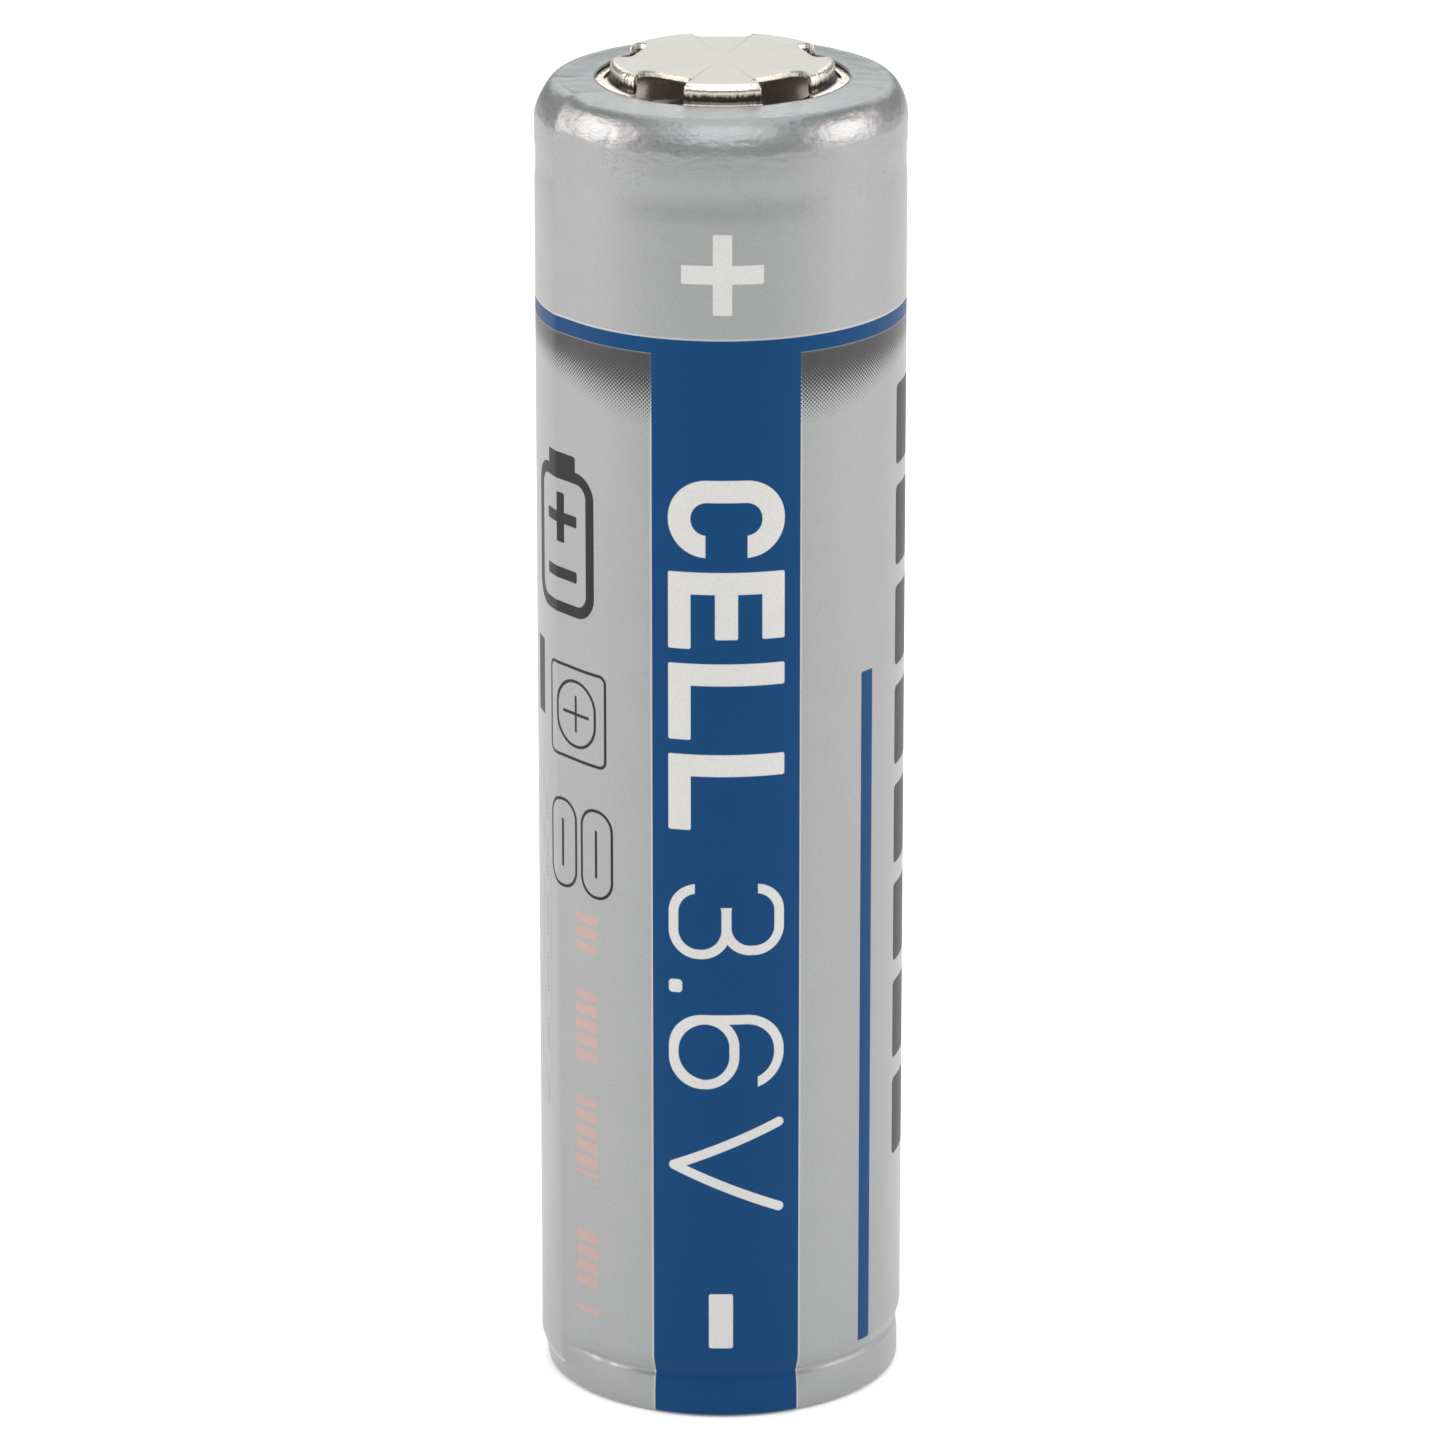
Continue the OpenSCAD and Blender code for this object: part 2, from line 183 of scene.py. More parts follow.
def bakeModifiers(thing):                  # the evaluated shape becomes the object's own plain mesh
    bpy.context.view_layer.update()
    evaluated = thing.evaluated_get(bpy.context.evaluated_depsgraph_get())
    mesh = bpy.data.meshes.new_from_object(evaluated)
    thing.modifiers.clear()
    thing.data = mesh
    mesh.name = thing.name
    return thing


# Camera, floor and light

cameraSetup = {"place": (0.0, -0.4059, 0.1701), "lookDown": 18.46, "lens": 208.8}
camera = bpy.data.objects.new("camera", bpy.data.cameras.new("camera"))
camera.data.lens = cameraSetup["lens"]
camera.data.clip_end = 20
camera.location = cameraSetup["place"]
camera.rotation_euler = (math.radians(90 - cameraSetup["lookDown"]), 0, 0)
scene.collection.objects.link(camera)
scene.camera = camera
scene.view_settings.view_transform = "Standard"

studio = {
    "softboxes": {                         # place, aim height, width, height, watts, tint
        "leftBox": ((-0.50, -0.04, 0.22), 0.05, 0.36, 0.30, 1.8, "fff4f2"),
        "rightBox": ((0.50, -0.04, 0.22), 0.05, 0.36, 0.30, 1.8, "fff4f2"),
        "frontBox": ((0.0, -0.44, 0.46), 0.05, 0.60, 0.40, 1.7, "ffffff"),
        "backBox": ((0.0, 0.55, 0.36), 0.06, 0.90, 0.30, 1.4, "ffffff"),
        "topBox": ((0.0, 0.04, 0.80), 0.06, 0.70, 1.10, 3.4, "ffffff"),
    },
    "worldColour": "dde0e2", "worldStrength": 0.24,
    "floorColour": "f6f6f6", "floorGlow": 0.18, "floorSize": 1.6,
}


def addSoftbox(name, place, aimZ, width, height, watts, tint):
    lamp = bpy.data.lights.new(name, "AREA")
    lamp.shape, lamp.size, lamp.size_y = "RECTANGLE", width, height
    lamp.energy, lamp.color = watts, colour(tint)[:3]
    box = bpy.data.objects.new(name, lamp)
    box.location = place
    box.rotation_euler = (Vector(place) - Vector((0, 0, aimZ))).to_track_quat("Z", "Y").to_euler()
    scene.collection.objects.link(box)


for name, values in studio["softboxes"].items():
    addSoftbox(name, *values)

world = bpy.data.worlds.new("studio")
world.use_nodes = True
background = world.node_tree.nodes["Background"]
background.inputs["Color"].default_value = colour(studio["worldColour"])
background.inputs["Strength"].default_value = studio["worldStrength"]
scene.world = world


def makeFloor():
    half = studio["floorSize"]
    mesh = bpy.data.meshes.new("floor")
    mesh.from_pydata([(-half, -half, 0), (half, -half, 0), (half, half, 0), (-half, half, 0)], [],
                     [(0, 1, 2, 3)])
    floor = newObject("floor", mesh)
    finish = bpy.data.materials.new("floorPaper")
    finish.use_nodes = True
    shader = finish.node_tree.nodes["Principled BSDF"]
    shader.inputs["Base Color"].default_value = colour(studio["floorColour"])
    shader.inputs["Roughness"].default_value = 0.9
    shader.inputs["Emission Color"].default_value = (1, 1, 1, 1)
    shader.inputs["Emission Strength"].default_value = studio["floorGlow"]
    mesh.materials.append(finish)


makeFloor()
print("camera, floor and light set")


# Shader groups

def makeSpeckleGroup():                    # fine grain and slow mottling, for every finish
    tree, ins, outs = newGroup("speckle", "ShaderNodeTree", [
        ("Place", "Vector"),
        ("Grain Size", "Float", 0.1), ("Grain Depth", "Float", 0.1),
        ("Mottle Size", "Float", 2.0), ("Mottle Depth", "Float", 0.1)],
        [("Shade", "Float"), ("Grain", "Float"),
         ("Mottle", "Float")])
    shades = []
    for size, depth, detail, label in (("Grain Size", "Grain Depth", 2.0, "Grain"),
                                       ("Mottle Size", "Mottle Depth", 4.0, "Mottle")):
        noise = addNode(tree, "ShaderNodeTexNoise")
        feed(tree, noise.inputs["Vector"], ins["Place"])
        feed(tree, noise.inputs["Scale"], divide(tree, 1 / mm, ins[size]))
        noise.inputs["Detail"].default_value = detail
        feed(tree, outs[label], noise.outputs[0])
        swing = subtract(tree, noise.outputs[0], 0.5)
        shades.append(multiply(tree, swing, ins[depth]))
    both = add(tree, *shades)
    feed(tree, outs["Shade"], calc(tree, "MULTIPLY_ADD", both, 2.0, 1.0))
    return tree


def makeScratchGroup():                    # long fine marks that run along one direction
    tree, ins, outs = newGroup("scratches", "ShaderNodeTree", [
        ("Place", "Vector"), ("Stretch", "Vector", (1.0, 1.0, 1.0)),
        ("Spacing", "Float", 0.2), ("Sharpness", "Float", 0.15)],
        [("Mask", "Float"), ("Lines", "Float")])
    stretched = vecCalc(tree, "MULTIPLY", ins["Place"], ins["Stretch"])
    noise = addNode(tree, "ShaderNodeTexNoise")
    feed(tree, noise.inputs["Vector"], stretched)
    feed(tree, noise.inputs["Scale"], divide(tree, 1 / mm, ins["Spacing"]))
    noise.inputs["Detail"].default_value = 5.0
    offMiddle = absolute(tree, subtract(tree, noise.outputs[0], 0.5))
    feed(tree, outs["Mask"], ramp(tree, offMiddle, 0.0, ins["Sharpness"], 1.0, 0.0))
    feed(tree, outs["Lines"], noise.outputs[0])
    return tree


def makeWrapPlaceGroup():                  # where a point lies on the wrap: mm round from the front, mm up
    tree, ins, outs = newGroup("wrapPlace", "ShaderNodeTree",
                               [("Place", "Vector"), ("Radius", "Float", 9.25)],
                               [("Wrap", "Vector"), ("Up", "Float")])
    x, y, z = split(tree, vecCalc(tree, "MULTIPLY", ins["Place"], (1 / mm,) * 3))
    angle = calc(tree, "ARCTAN2", x, multiply(tree, y, -1.0))
    feed(tree, outs["Wrap"], vector(tree, multiply(tree, angle, ins["Radius"]), z))
    feed(tree, outs["Up"], z)
    return tree


def makeBarShape():                        # distance to a box with round corners, less than 0 inside
    tree, ins, outs = newGroup("barShape", "ShaderNodeTree", [
        ("Place", "Vector"), ("Middle", "Vector"),
        ("Half Size", "Vector"), ("Corner", "Float", 0.1)],
        [("Distance", "Float")])
    away = vecCalc(tree, "SUBTRACT", ins["Place"], ins["Middle"])
    x, y = split(tree, vecCalc(tree, "SUBTRACT", vecCalc(tree, "ABSOLUTE", away), ins["Half Size"]))[:2]
    x = add(tree, x, ins["Corner"])
    y = add(tree, y, ins["Corner"])
    outside = vecCalc(tree, "LENGTH", vecCalc(tree, "MAXIMUM", vector(tree, x, y), (0, 0, 0)))
    inside = smallest(tree, largest(tree, x, y), 0.0)
    reach = add(tree, outside, inside)
    feed(tree, outs["Distance"], subtract(tree, reach, ins["Corner"]))
    return tree


def makeStrokeShape():                     # distance to a straight stroke with round ends
    tree, ins, outs = newGroup("strokeShape", "ShaderNodeTree", [
        ("Place", "Vector"), ("Start", "Vector"),
        ("End", "Vector"), ("Half Width", "Float", 0.1)],
        [("Distance", "Float")])
    away = vecCalc(tree, "SUBTRACT", ins["Place"], ins["Start"])
    run = vecCalc(tree, "SUBTRACT", ins["End"], ins["Start"])
    along = divide(tree, vecCalc(tree, "DOT_PRODUCT", away, run),
                 vecCalc(tree, "DOT_PRODUCT", run, run), clamp=True)
    nearest = vecCalc(tree, "MULTIPLY", run, vector(tree, along, along, along))
    reach = vecCalc(tree, "LENGTH", vecCalc(tree, "SUBTRACT", away, nearest))
    feed(tree, outs["Distance"], subtract(tree, reach, ins["Half Width"]))
    return tree


speckle = makeSpeckleGroup()
scratches = makeScratchGroup()
wrapPlace = makeWrapPlaceGroup()
barShape = makeBarShape()
strokeShape = makeStrokeShape()


# The print on the sleeve

printLayout = {                            # mm: across from the front's middle line, and up from the base
    "inkEdge": 0.025, "ringEdge": 0.02, "paleLine": (0.03, 0.07, 0.12),
    "ring": (56.64, 57.43),
    "band": (-3.60, 3.99),
    "plus": {"up": 60.79, "arm": 2.05, "half": 0.475, "corner": 0.06},
    "minus": {"across": -0.08, "up": 5.42, "half": (0.615, 1.49), "corner": 0.12},
    "boldText": {"top": 50.27, "base": -2.75, "tall": 5.9, "wide": 4.0, "space": 0.77, "stroke": 1.15,
                 "round": 1.4, "mouth": 1.9, "shorter": 0.5},
    "thinText": {"top": 29.1, "base": -2.75, "tall": 5.9, "wide": 4.0, "space": 1.15, "stroke": 0.5,
                 "round": 1.3, "mouth": 1.35, "point": 0.7, "sixRound": 1.7, "sixBowl": 3.6, "veeHalf": 2.3},
    "stripe": {"across": (7.9, 8.8), "up": (3.0, 39.3)},
    "dots": {"pitch": 0.15, "reach": 3.9, "farReach": 1.9, "farAcross": 13.5,
             "growth": 0.75, "largest": 0.78},
}
darkMarks = {                              # mm: boxes as left, right, low, high, and strokes as two ends
    "line": 0.17,
    "cellBody": (-12.3, -7.1, 42.0, 49.6), "cellNub": (-10.9, -8.5, 49.5, 50.4), "cellLine": 0.6,
    "cellSigns": ((-11.0, -8.4, 46.7, 47.3), (-10.0, -9.4, 45.7, 48.3), (-11.0, -8.4, 43.8, 44.4)),
    "frame": (-10.8, -6.3, 34.4, 39.4), "frameRing": (-10.1, -7.0, 35.1, 38.7),
    "frameSign": (((-8.55, 36.0), (-8.55, 37.8)), ((-9.5, 36.9), (-7.6, 36.9))),
    "pair": ((-10.8, -8.5, 27.4, 32.2), (-8.2, -5.9, 27.4, 32.2)),
    "pairSigns": (((-9.65, 28.6), (-9.65, 31.0)), ((-7.05, 28.6), (-7.05, 31.0))),
    "edgeBar": (-12.9, -11.8, 36.0, 40.0),
    "column": {"across": (11.35, 16.4), "up": (11.6, 54.0), "halfPitch": 2.65, "halfGap": 0.55,
               "corner": 0.3},
}
smallPrint = {                             # mm: left, right, low, high, row pitch, word; half a line's share
    "redCode": (-9.0, -6.7, 4.6, 26.4, 2.3, 6.1, 0.36),
    "sideRows": (-15.6, -11.0, 15.0, 33.0, 0.62, 3.1, 0.25),
    "backRows": (19.0, 27.0, 14.0, 46.0, 0.8, 3.7, 0.25),
}


class Ink:                                 # draws print shapes as distances, in one node tree
    def __init__(self, tree, place):
        self.tree, self.place = tree, place

    def bar(self, x0, x1, y0, y1, corner=0.1):
        middle = ((x0 + x1) / 2, (y0 + y1) / 2, 0)
        half = ((x1 - x0) / 2, (y1 - y0) / 2, 0)
        return useGroup(self.tree, barShape, {"Place": self.place, "Middle": middle,
                                              "Half Size": half, "Corner": corner})[0]

    def outline(self, x0, x1, y0, y1, corner, stroke):       # the stroke lies inside the four edges
        s = stroke / 2
        middle = self.bar(x0 + s, x1 - s, y0 + s, y1 - s, corner)
        return subtract(self.tree, absolute(self.tree, middle), s)

    def stroke(self, start, end, width):
        return useGroup(self.tree, strokeShape, {"Place": self.place, "Start": (*start, 0),
                                                 "End": (*end, 0), "Half Width": width / 2})[0]

    def join(self, *shapes):
        return smallest(self.tree, *shapes)

    def cut(self, shape, hole):
        return largest(self.tree, shape, multiply(self.tree, hole, -1.0))

    def fill(self, shape):
        return ramp(self.tree, shape, -printLayout["inkEdge"], printLayout["inkEdge"], 1.0, 0.0)


def readingPlace(tree, place, top, base):  # print that reads downwards: x runs down, y runs to the right
    x, y = split(tree, place)[:2]
    return vector(tree, subtract(tree, top, y), subtract(tree, x, base))


def drawBoldWord(tree, place):             # CELL
    t = printLayout["boldText"]
    ink = Ink(tree, readingPlace(tree, place, t["top"], t["base"]))
    w, h, s = t["wide"], t["tall"], t["stroke"]
    step = w + t["space"]
    mouth = ink.bar(w - s - 0.2, w + 1, t["mouth"], h - t["mouth"], 0)
    shapes = [ink.cut(ink.outline(0, w, 0, h, t["round"], s), mouth), ink.bar(step, step + s, 0, h)]
    for y in (0, (h - s) / 2, h - s):
        shapes.append(ink.bar(step, step + (w - t["shorter"] if y else w), y, y + s))
    for x in (2 * step, 3 * step):
        shapes += [ink.bar(x, x + s, 0, h), ink.bar(x, x + w, 0, s)]
    return ink.fill(ink.join(*shapes))


def drawThinWord(tree, place):             # 3.6 V
    t = printLayout["thinText"]
    ink = Ink(tree, readingPlace(tree, place, t["top"], t["base"]))
    w, h, s = t["wide"], t["tall"], t["stroke"]
    mid, mouth, point, half = h / 2, t["mouth"], t["point"], t["veeHalf"]
    three = ink.join(ink.outline(0, w - 0.2, mid - s / 2, h, t["round"] - 0.05, s),
                     ink.outline(0, w, 0, mid + s / 2, t["round"], s))
    three = ink.cut(three, ink.bar(-1, 1.25, mouth, h - mouth, 0))
    x = w + t["space"]
    dot = ink.bar(x, x + point, 0, point, 0.2)
    x += point + t["space"]
    six = ink.cut(ink.outline(x, x + w, 0, h, t["sixRound"], s),
                  ink.bar(x + w / 2, x + w + 1, t["sixRound"], h - mouth, 0))
    six = ink.join(six, ink.outline(x, x + w, 0, t["sixBowl"], 1.5, s))
    x += w + 1.9
    foot = (x + half, s / 2)
    vee = ink.join(ink.stroke((x, h - s / 2), foot, s), ink.stroke((x + 2 * half, h - s / 2), foot, s))
    return ink.fill(ink.join(three, dot, six, vee))


def drawSigns(tree, place):
    ink = Ink(tree, place)
    p, m = printLayout["plus"], printLayout["minus"]
    (x, y), up, arm, half = m["half"], p["up"], p["arm"], p["half"]
    plus = ink.join(ink.bar(-arm, arm, up - half, up + half, p["corner"]),
                    ink.bar(-half, half, up - arm, up + arm, p["corner"]))
    minus = ink.bar(m["across"] - x, m["across"] + x, m["up"] - y, m["up"] + y, m["corner"])
    return ink.fill(plus), ink.fill(minus)


def drawBlue(tree, place):                 # ring and band as a distance, and the plain side stripe
    ink = Ink(tree, place)
    low, high = printLayout["ring"]
    left, right = printLayout["band"]
    body = ink.join(ink.bar(-90, 90, low, high, 0), ink.bar(left, right, -9, low + 0.1, 0))
    stripe = printLayout["stripe"]
    return body, ink.fill(ink.bar(*stripe["across"], *stripe["up"]))


def drawDots(tree, place):                 # dots on a diagonal grid that shrink away from the ring
    d = printLayout["dots"]
    x, y = split(tree, place)[:2]
    left, right = printLayout["band"]
    middle, half = (left + right) / 2, (right - left) / 2
    out = subtract(tree, absolute(tree, subtract(tree, x, middle)), half)
    reach = ramp(tree, out, 0.0, d["farAcross"] - half, d["reach"], d["farReach"])
    down = subtract(tree, printLayout["ring"][0], y)
    cover = subtract(tree, 1.0, divide(tree, down, reach), clamp=True)
    offset = []
    for a in (add(tree, x, y), subtract(tree, x, y)):
        cells = calc(tree, "FRACT", divide(tree, a, d["pitch"] * math.sqrt(2)))
        offset.append(subtract(tree, cells, 0.5))
    spread = vecCalc(tree, "LENGTH", vector(tree, *offset))
    radius = multiply(tree, calc(tree, "POWER", cover, d["growth"]), d["largest"])
    dots = ramp(tree, subtract(tree, spread, radius), -0.06, 0.06, 1.0, 0.0)
    below = ramp(tree, down, 0.0, 0.03)
    inReach = ramp(tree, cover, 0.02, 0.08)
    return multiply(tree, dots, below, inReach)


def drawDark(tree, place):                 # plain pictograms and bars, beside and behind the band
    ink, d = Ink(tree, place), darkMarks
    line, column = d["line"], d["column"]
    shapes = [ink.outline(*d["cellBody"], 1.0, d["cellLine"]), ink.bar(*d["cellNub"], 0.15)]
    shapes += [ink.bar(*sign) for sign in d["cellSigns"]]
    shapes += [ink.outline(*d["frame"], 0.4, line), ink.outline(*d["frameRing"], 1.4, line)]
    shapes += [ink.outline(*box, 1.0, line) for box in d["pair"]]
    shapes += [ink.stroke(*ends, line) for ends in d["frameSign"] + d["pairSigns"]]
    shapes.append(ink.bar(*d["edgeBar"], 0.05))
    x, y = split(tree, place)[:2]
    low, high = column["up"]
    repeated = calc(tree, "PINGPONG", subtract(tree, y, low), column["halfPitch"])     # equal blocks
    blockInk = Ink(tree, vector(tree, x, repeated))
    block = blockInk.bar(*column["across"], column["halfGap"], 9.0, column["corner"])
    shapes.append(largest(tree, block, ink.bar(0, 30, low, high, 0)))
    return ink.fill(ink.join(*shapes))


def drawSmallPrint(tree, place, x0, x1, y0, y1, pitch, word, tall):       # rows of unreadable dashes
    ink = Ink(tree, place)
    x, y = split(tree, place)[:2]
    rows = divide(tree, subtract(tree, x, x0), pitch)
    row = calc(tree, "FLOOR", rows)
    shift = multiply(tree, row, 0.37 * word)
    along = divide(tree, add(tree, y, shift), word)
    noise = addNode(tree, "ShaderNodeTexWhiteNoise", noise_dimensions="2D")
    feed(tree, noise.inputs["Vector"], vector(tree, row, calc(tree, "FLOOR", along)))
    length = calc(tree, "MULTIPLY_ADD", noise.outputs[0], 0.45, 0.45)
    dash = calc(tree, "LESS_THAN", calc(tree, "FRACT", along), length)
    offRow = absolute(tree, subtract(tree, calc(tree, "FRACT", rows), 0.5))
    line = ramp(tree, offRow, tall - 0.05, tall + 0.05, 1.0, 0.0)
    inside = ink.fill(ink.bar(x0, x1, y0, y1, 0))
    letters = ramp(tree, calc(tree, "FRACT", divide(tree, y, pitch * 0.36)), 0.25, 0.4)
    marks = multiply(tree, dash, line, letters)
    return multiply(tree, marks, inside)


def makePrintGroup():
    masks = ("White", "Blue", "Dark", "Faint Red", "Grey", "Pale Edge", "Dots")
    tree, ins, outs = newGroup("sleevePrint", "ShaderNodeTree", [("Wrap", "Vector")],
                               [(name, "Float") for name in masks])
    place = ins["Wrap"]
    signs = drawSigns(tree, place)
    body, stripe = drawBlue(tree, place)
    edge = printLayout["ringEdge"]
    start, full, end = printLayout["paleLine"]
    red, side, back = (drawSmallPrint(tree, place, *rows) for rows in smallPrint.values())
    drawn = (largest(tree, drawBoldWord(tree, place), drawThinWord(tree, place), *signs),
             largest(tree, ramp(tree, body, -edge, edge, 1.0, 0.0), stripe),
             drawDark(tree, place), red, largest(tree, side, back),
             multiply(tree, ramp(tree, body, 0.0, start), ramp(tree, body, full, end, 1.0, 0.0)),
             drawDots(tree, place))
    for name, mask in zip(masks, drawn):
        feed(tree, outs[name], mask)
    return tree


sleevePrint = makePrintGroup()
print("print drawn:", len(sleevePrint.nodes), "nodes")


# Materials

def newMaterial(name):
    material = bpy.data.materials.new(name)
    material.use_nodes = True
    tree = material.node_tree
    shader = tree.nodes["Principled BSDF"]
    place = addNode(tree, "ShaderNodeTexCoord").outputs["Object"]
    return material, tree, shader, place


def mixColour(tree, amount, first, second):
    node = addNode(tree, "ShaderNodeMix", data_type="RGBA")
    feed(tree, node.inputs[0], amount)
    feed(tree, node.inputs[6], first)
    feed(tree, node.inputs[7], second)
    return node.outputs[2]


def shadeColour(tree, base, shade):        # multiplies a colour by a value near 1
    node = addNode(tree, "ShaderNodeMix", data_type="RGBA", blend_type="MULTIPLY")
    node.inputs[0].default_value = 1.0
    feed(tree, node.inputs[6], base)
    feed(tree, node.inputs[7], vector(tree, shade, shade, shade))
    return node.outputs[2]


def bumpNormal(tree, height, distance, under=None):
    node = addNode(tree, "ShaderNodeBump")
    node.inputs["Strength"].default_value = 1.0
    node.inputs["Distance"].default_value = distance * mm
    feed(tree, node.inputs["Height"], height)
    if under is not None:
        feed(tree, node.inputs["Normal"], under)
    return node.outputs[0]


def useSpeckle(tree, place, grainSize, grainDepth, mottleSize, mottleDepth):
    return useGroup(tree, speckle, {"Place": place, "Grain Size": grainSize, "Grain Depth": grainDepth,
                                    "Mottle Size": mottleSize, "Mottle Depth": mottleDepth})


def blend(tree, amount, low, high):        # from low to high as amount goes from 0 to 1
    return calc(tree, "MULTIPLY_ADD", amount, high - low, low)


def vary(tree, value, noise, swing):       # a value that a noise moves by half of swing either way
    return add(tree, value, blend(tree, noise, -swing / 2, swing / 2))


def finishShader(tree, shader, paint, shade, rough, normal):
    for name, value in (("Base Color", shadeColour(tree, paint, shade)), ("Roughness", rough),
                        ("Normal", normal)):
        feed(tree, shader.inputs[name], value)


sleeveFinish = {
    "silver": "969999", "blue": "053d6a", "white": "c6c7c4", "dark": "1d1b1b",
    "faintRed": "c98f80", "grey": "7d8080",
    "layers": (                            # mask of the print, its ink, and how well it covers
        ("Pale Edge", "white", 0.45), ("Dots", "dark", 0.85), ("Faint Red", "faintRed", 0.42),
        ("Grey", "grey", 0.75), ("Dark", "dark", 0.97), ("Blue", "blue", 1.0), ("White", "white", 1.0)),
    "silverMetal": 0.7, "silverRough": 0.36, "inkRough": 0.42, "whiteRough": 0.5, "roughSwing": 0.12,
    "filmShine": 0.5, "inkShine": 0.12,
    "speckle": (0.09, 0.14, 2.6, 0.035),   # mm of grain and its depth, mm of mottling and its depth
    "grainBump": 0.004, "peelBump": 0.012, "peelSize": 1.1, "crinkleBump": 0.065, "crinkleFade": (65.3, 67.2),
    "scuff": "73878e", "scuffAmount": 0.65, "scuffPatches": (0.44, 0.58), "scuffFade": (61.0, 66.5),
    "scuffMarks": {"Stretch": (1.0, 1.0, 2.0), "Spacing": 0.9, "Sharpness": 0.025},
}


def makeSleeveMaterial():
    f = sleeveFinish
    material, tree, shader, place = newMaterial("printedSleeve")
    wrap = useGroup(tree, wrapPlace, {"Place": place, "Radius": wallR / mm})
    ink = useGroup(tree, sleevePrint, {"Wrap": wrap["Wrap"]})
    grain = useSpeckle(tree, place, *f["speckle"])
    paint = colour(f["silver"])
    for mask, name, strength in f["layers"]:
        paint = mixColour(tree, multiply(tree, ink[mask], strength), paint, colour(f[name]))
    scuffs = useGroup(tree, scratches, {"Place": place, **f["scuffMarks"]})
    patches = ramp(tree, grain["Mottle"], *f["scuffPatches"])
    nearTop = ramp(tree, wrap["Up"], *f["scuffFade"])
    worn = multiply(tree, scuffs["Mask"], patches, nearTop, f["scuffAmount"])
    paint = mixColour(tree, worn, paint, colour(f["scuff"]))

    solid = largest(tree, ink["White"], ink["Blue"], ink["Dark"])
    feed(tree, shader.inputs["Metallic"], multiply(tree, subtract(tree, 1.0, solid), f["silverMetal"]))
    feed(tree, shader.inputs["Specular IOR Level"], blend(tree, solid, f["filmShine"], f["inkShine"]))
    rough = blend(tree, solid, f["silverRough"], f["inkRough"])
    rough = calc(tree, "MULTIPLY_ADD", ink["White"], f["whiteRough"] - f["inkRough"], rough)
    rough = vary(tree, rough, grain["Grain"], f["roughSwing"])

    peel = addNode(tree, "ShaderNodeTexNoise")
    feed(tree, peel.inputs["Vector"], place)
    peel.inputs["Scale"].default_value = 1 / (f["peelSize"] * mm)
    peel.inputs["Detail"].default_value = 3.0
    low = bumpNormal(tree, peel.outputs[0], f["peelBump"])
    onShoulder = ramp(tree, wrap["Up"], *f["crinkleFade"])
    crinkle = multiply(tree, subtract(tree, scuffs["Lines"], 0.5), onShoulder)
    low = bumpNormal(tree, crinkle, f["crinkleBump"], under=low)
    normal = bumpNormal(tree, grain["Grain"], f["grainBump"], under=low)
    finishShader(tree, shader, paint, grain["Shade"], rough, normal)
    return material


metalWear = {"grainSize": 0.12, "grainDepth": 0.1, "mottleSize": 1.8, "mottleDepth": 0.08,
             "stain": "6b5a44", "stainAmount": 0.12, "stainFrom": 0.5, "stainTo": 0.75, "roughSwing": 0.2}
dullWear = {"patchFrom": 0.4, "patchTo": 0.65, "roughSwing": 0.2}


def metalMaterial(name, base, rough, stretch, spacing, bump=0.004):
    m = metalWear
    material, tree, shader, place = newMaterial(name)
    marks = useGroup(tree, scratches, {"Place": place, "Stretch": stretch, "Spacing": spacing})
    speck = useSpeckle(tree, place, m["grainSize"], m["grainDepth"], m["mottleSize"], m["mottleDepth"])
    stain = multiply(tree, ramp(tree, speck["Mottle"], m["stainFrom"], m["stainTo"]), m["stainAmount"])
    paint = mixColour(tree, stain, colour(base), colour(m["stain"]))
    shader.inputs["Metallic"].default_value = 1.0
    finishShader(tree, shader, paint, speck["Shade"], vary(tree, rough, marks["Lines"], m["roughSwing"]),
                 bumpNormal(tree, marks["Lines"], bump))
    return material


def dullMaterial(name, base, rough, second, grainSize, mottleSize, depth=0.12, bump=0.01):
    material, tree, shader, place = newMaterial(name)
    speck = useSpeckle(tree, place, grainSize, depth, mottleSize, depth / 2)
    patch = ramp(tree, speck["Mottle"], dullWear["patchFrom"], dullWear["patchTo"])
    paint = mixColour(tree, patch, colour(base), colour(second))
    finishShader(tree, shader, paint, speck["Shade"],
                 vary(tree, rough, speck["Grain"], dullWear["roughSwing"]),
                 bumpNormal(tree, speck["Grain"], bump))
    return material


plateFinish = {                            # fades in mm below the plate's top
    # face and wall are one nickel sheet: the wall's paler colour is a painted highlight
    "face": "c4c3bc", "wall": "fbf5e6", "faceRough": 0.5, "wallRough": 0.22, "roughSwing": 0.1,
    "faceFade": (0.12, 0.02), "faceBump": 0.006, "wallBump": 0.05,
    # painted dark reflection: a nearly black band on the lower part of the button's walls
    "darkReflection": "1c140d", "darkReflectionAmount": 0.92, "darkReflectionUneven": 0.5,
    "darkReflectionFade": (0.45, 0.25), "darkReflectionFoot": (1.12, 1.0),
    "wallMarks": {"Stretch": (1.0, 1.0, 0.1), "Spacing": 0.16},
    "faceMarks": {"Stretch": (0.15, 1.0, 1.0), "Spacing": 0.2},
    "speckle": (0.07, 0.05, 1.6, 0.05),
}


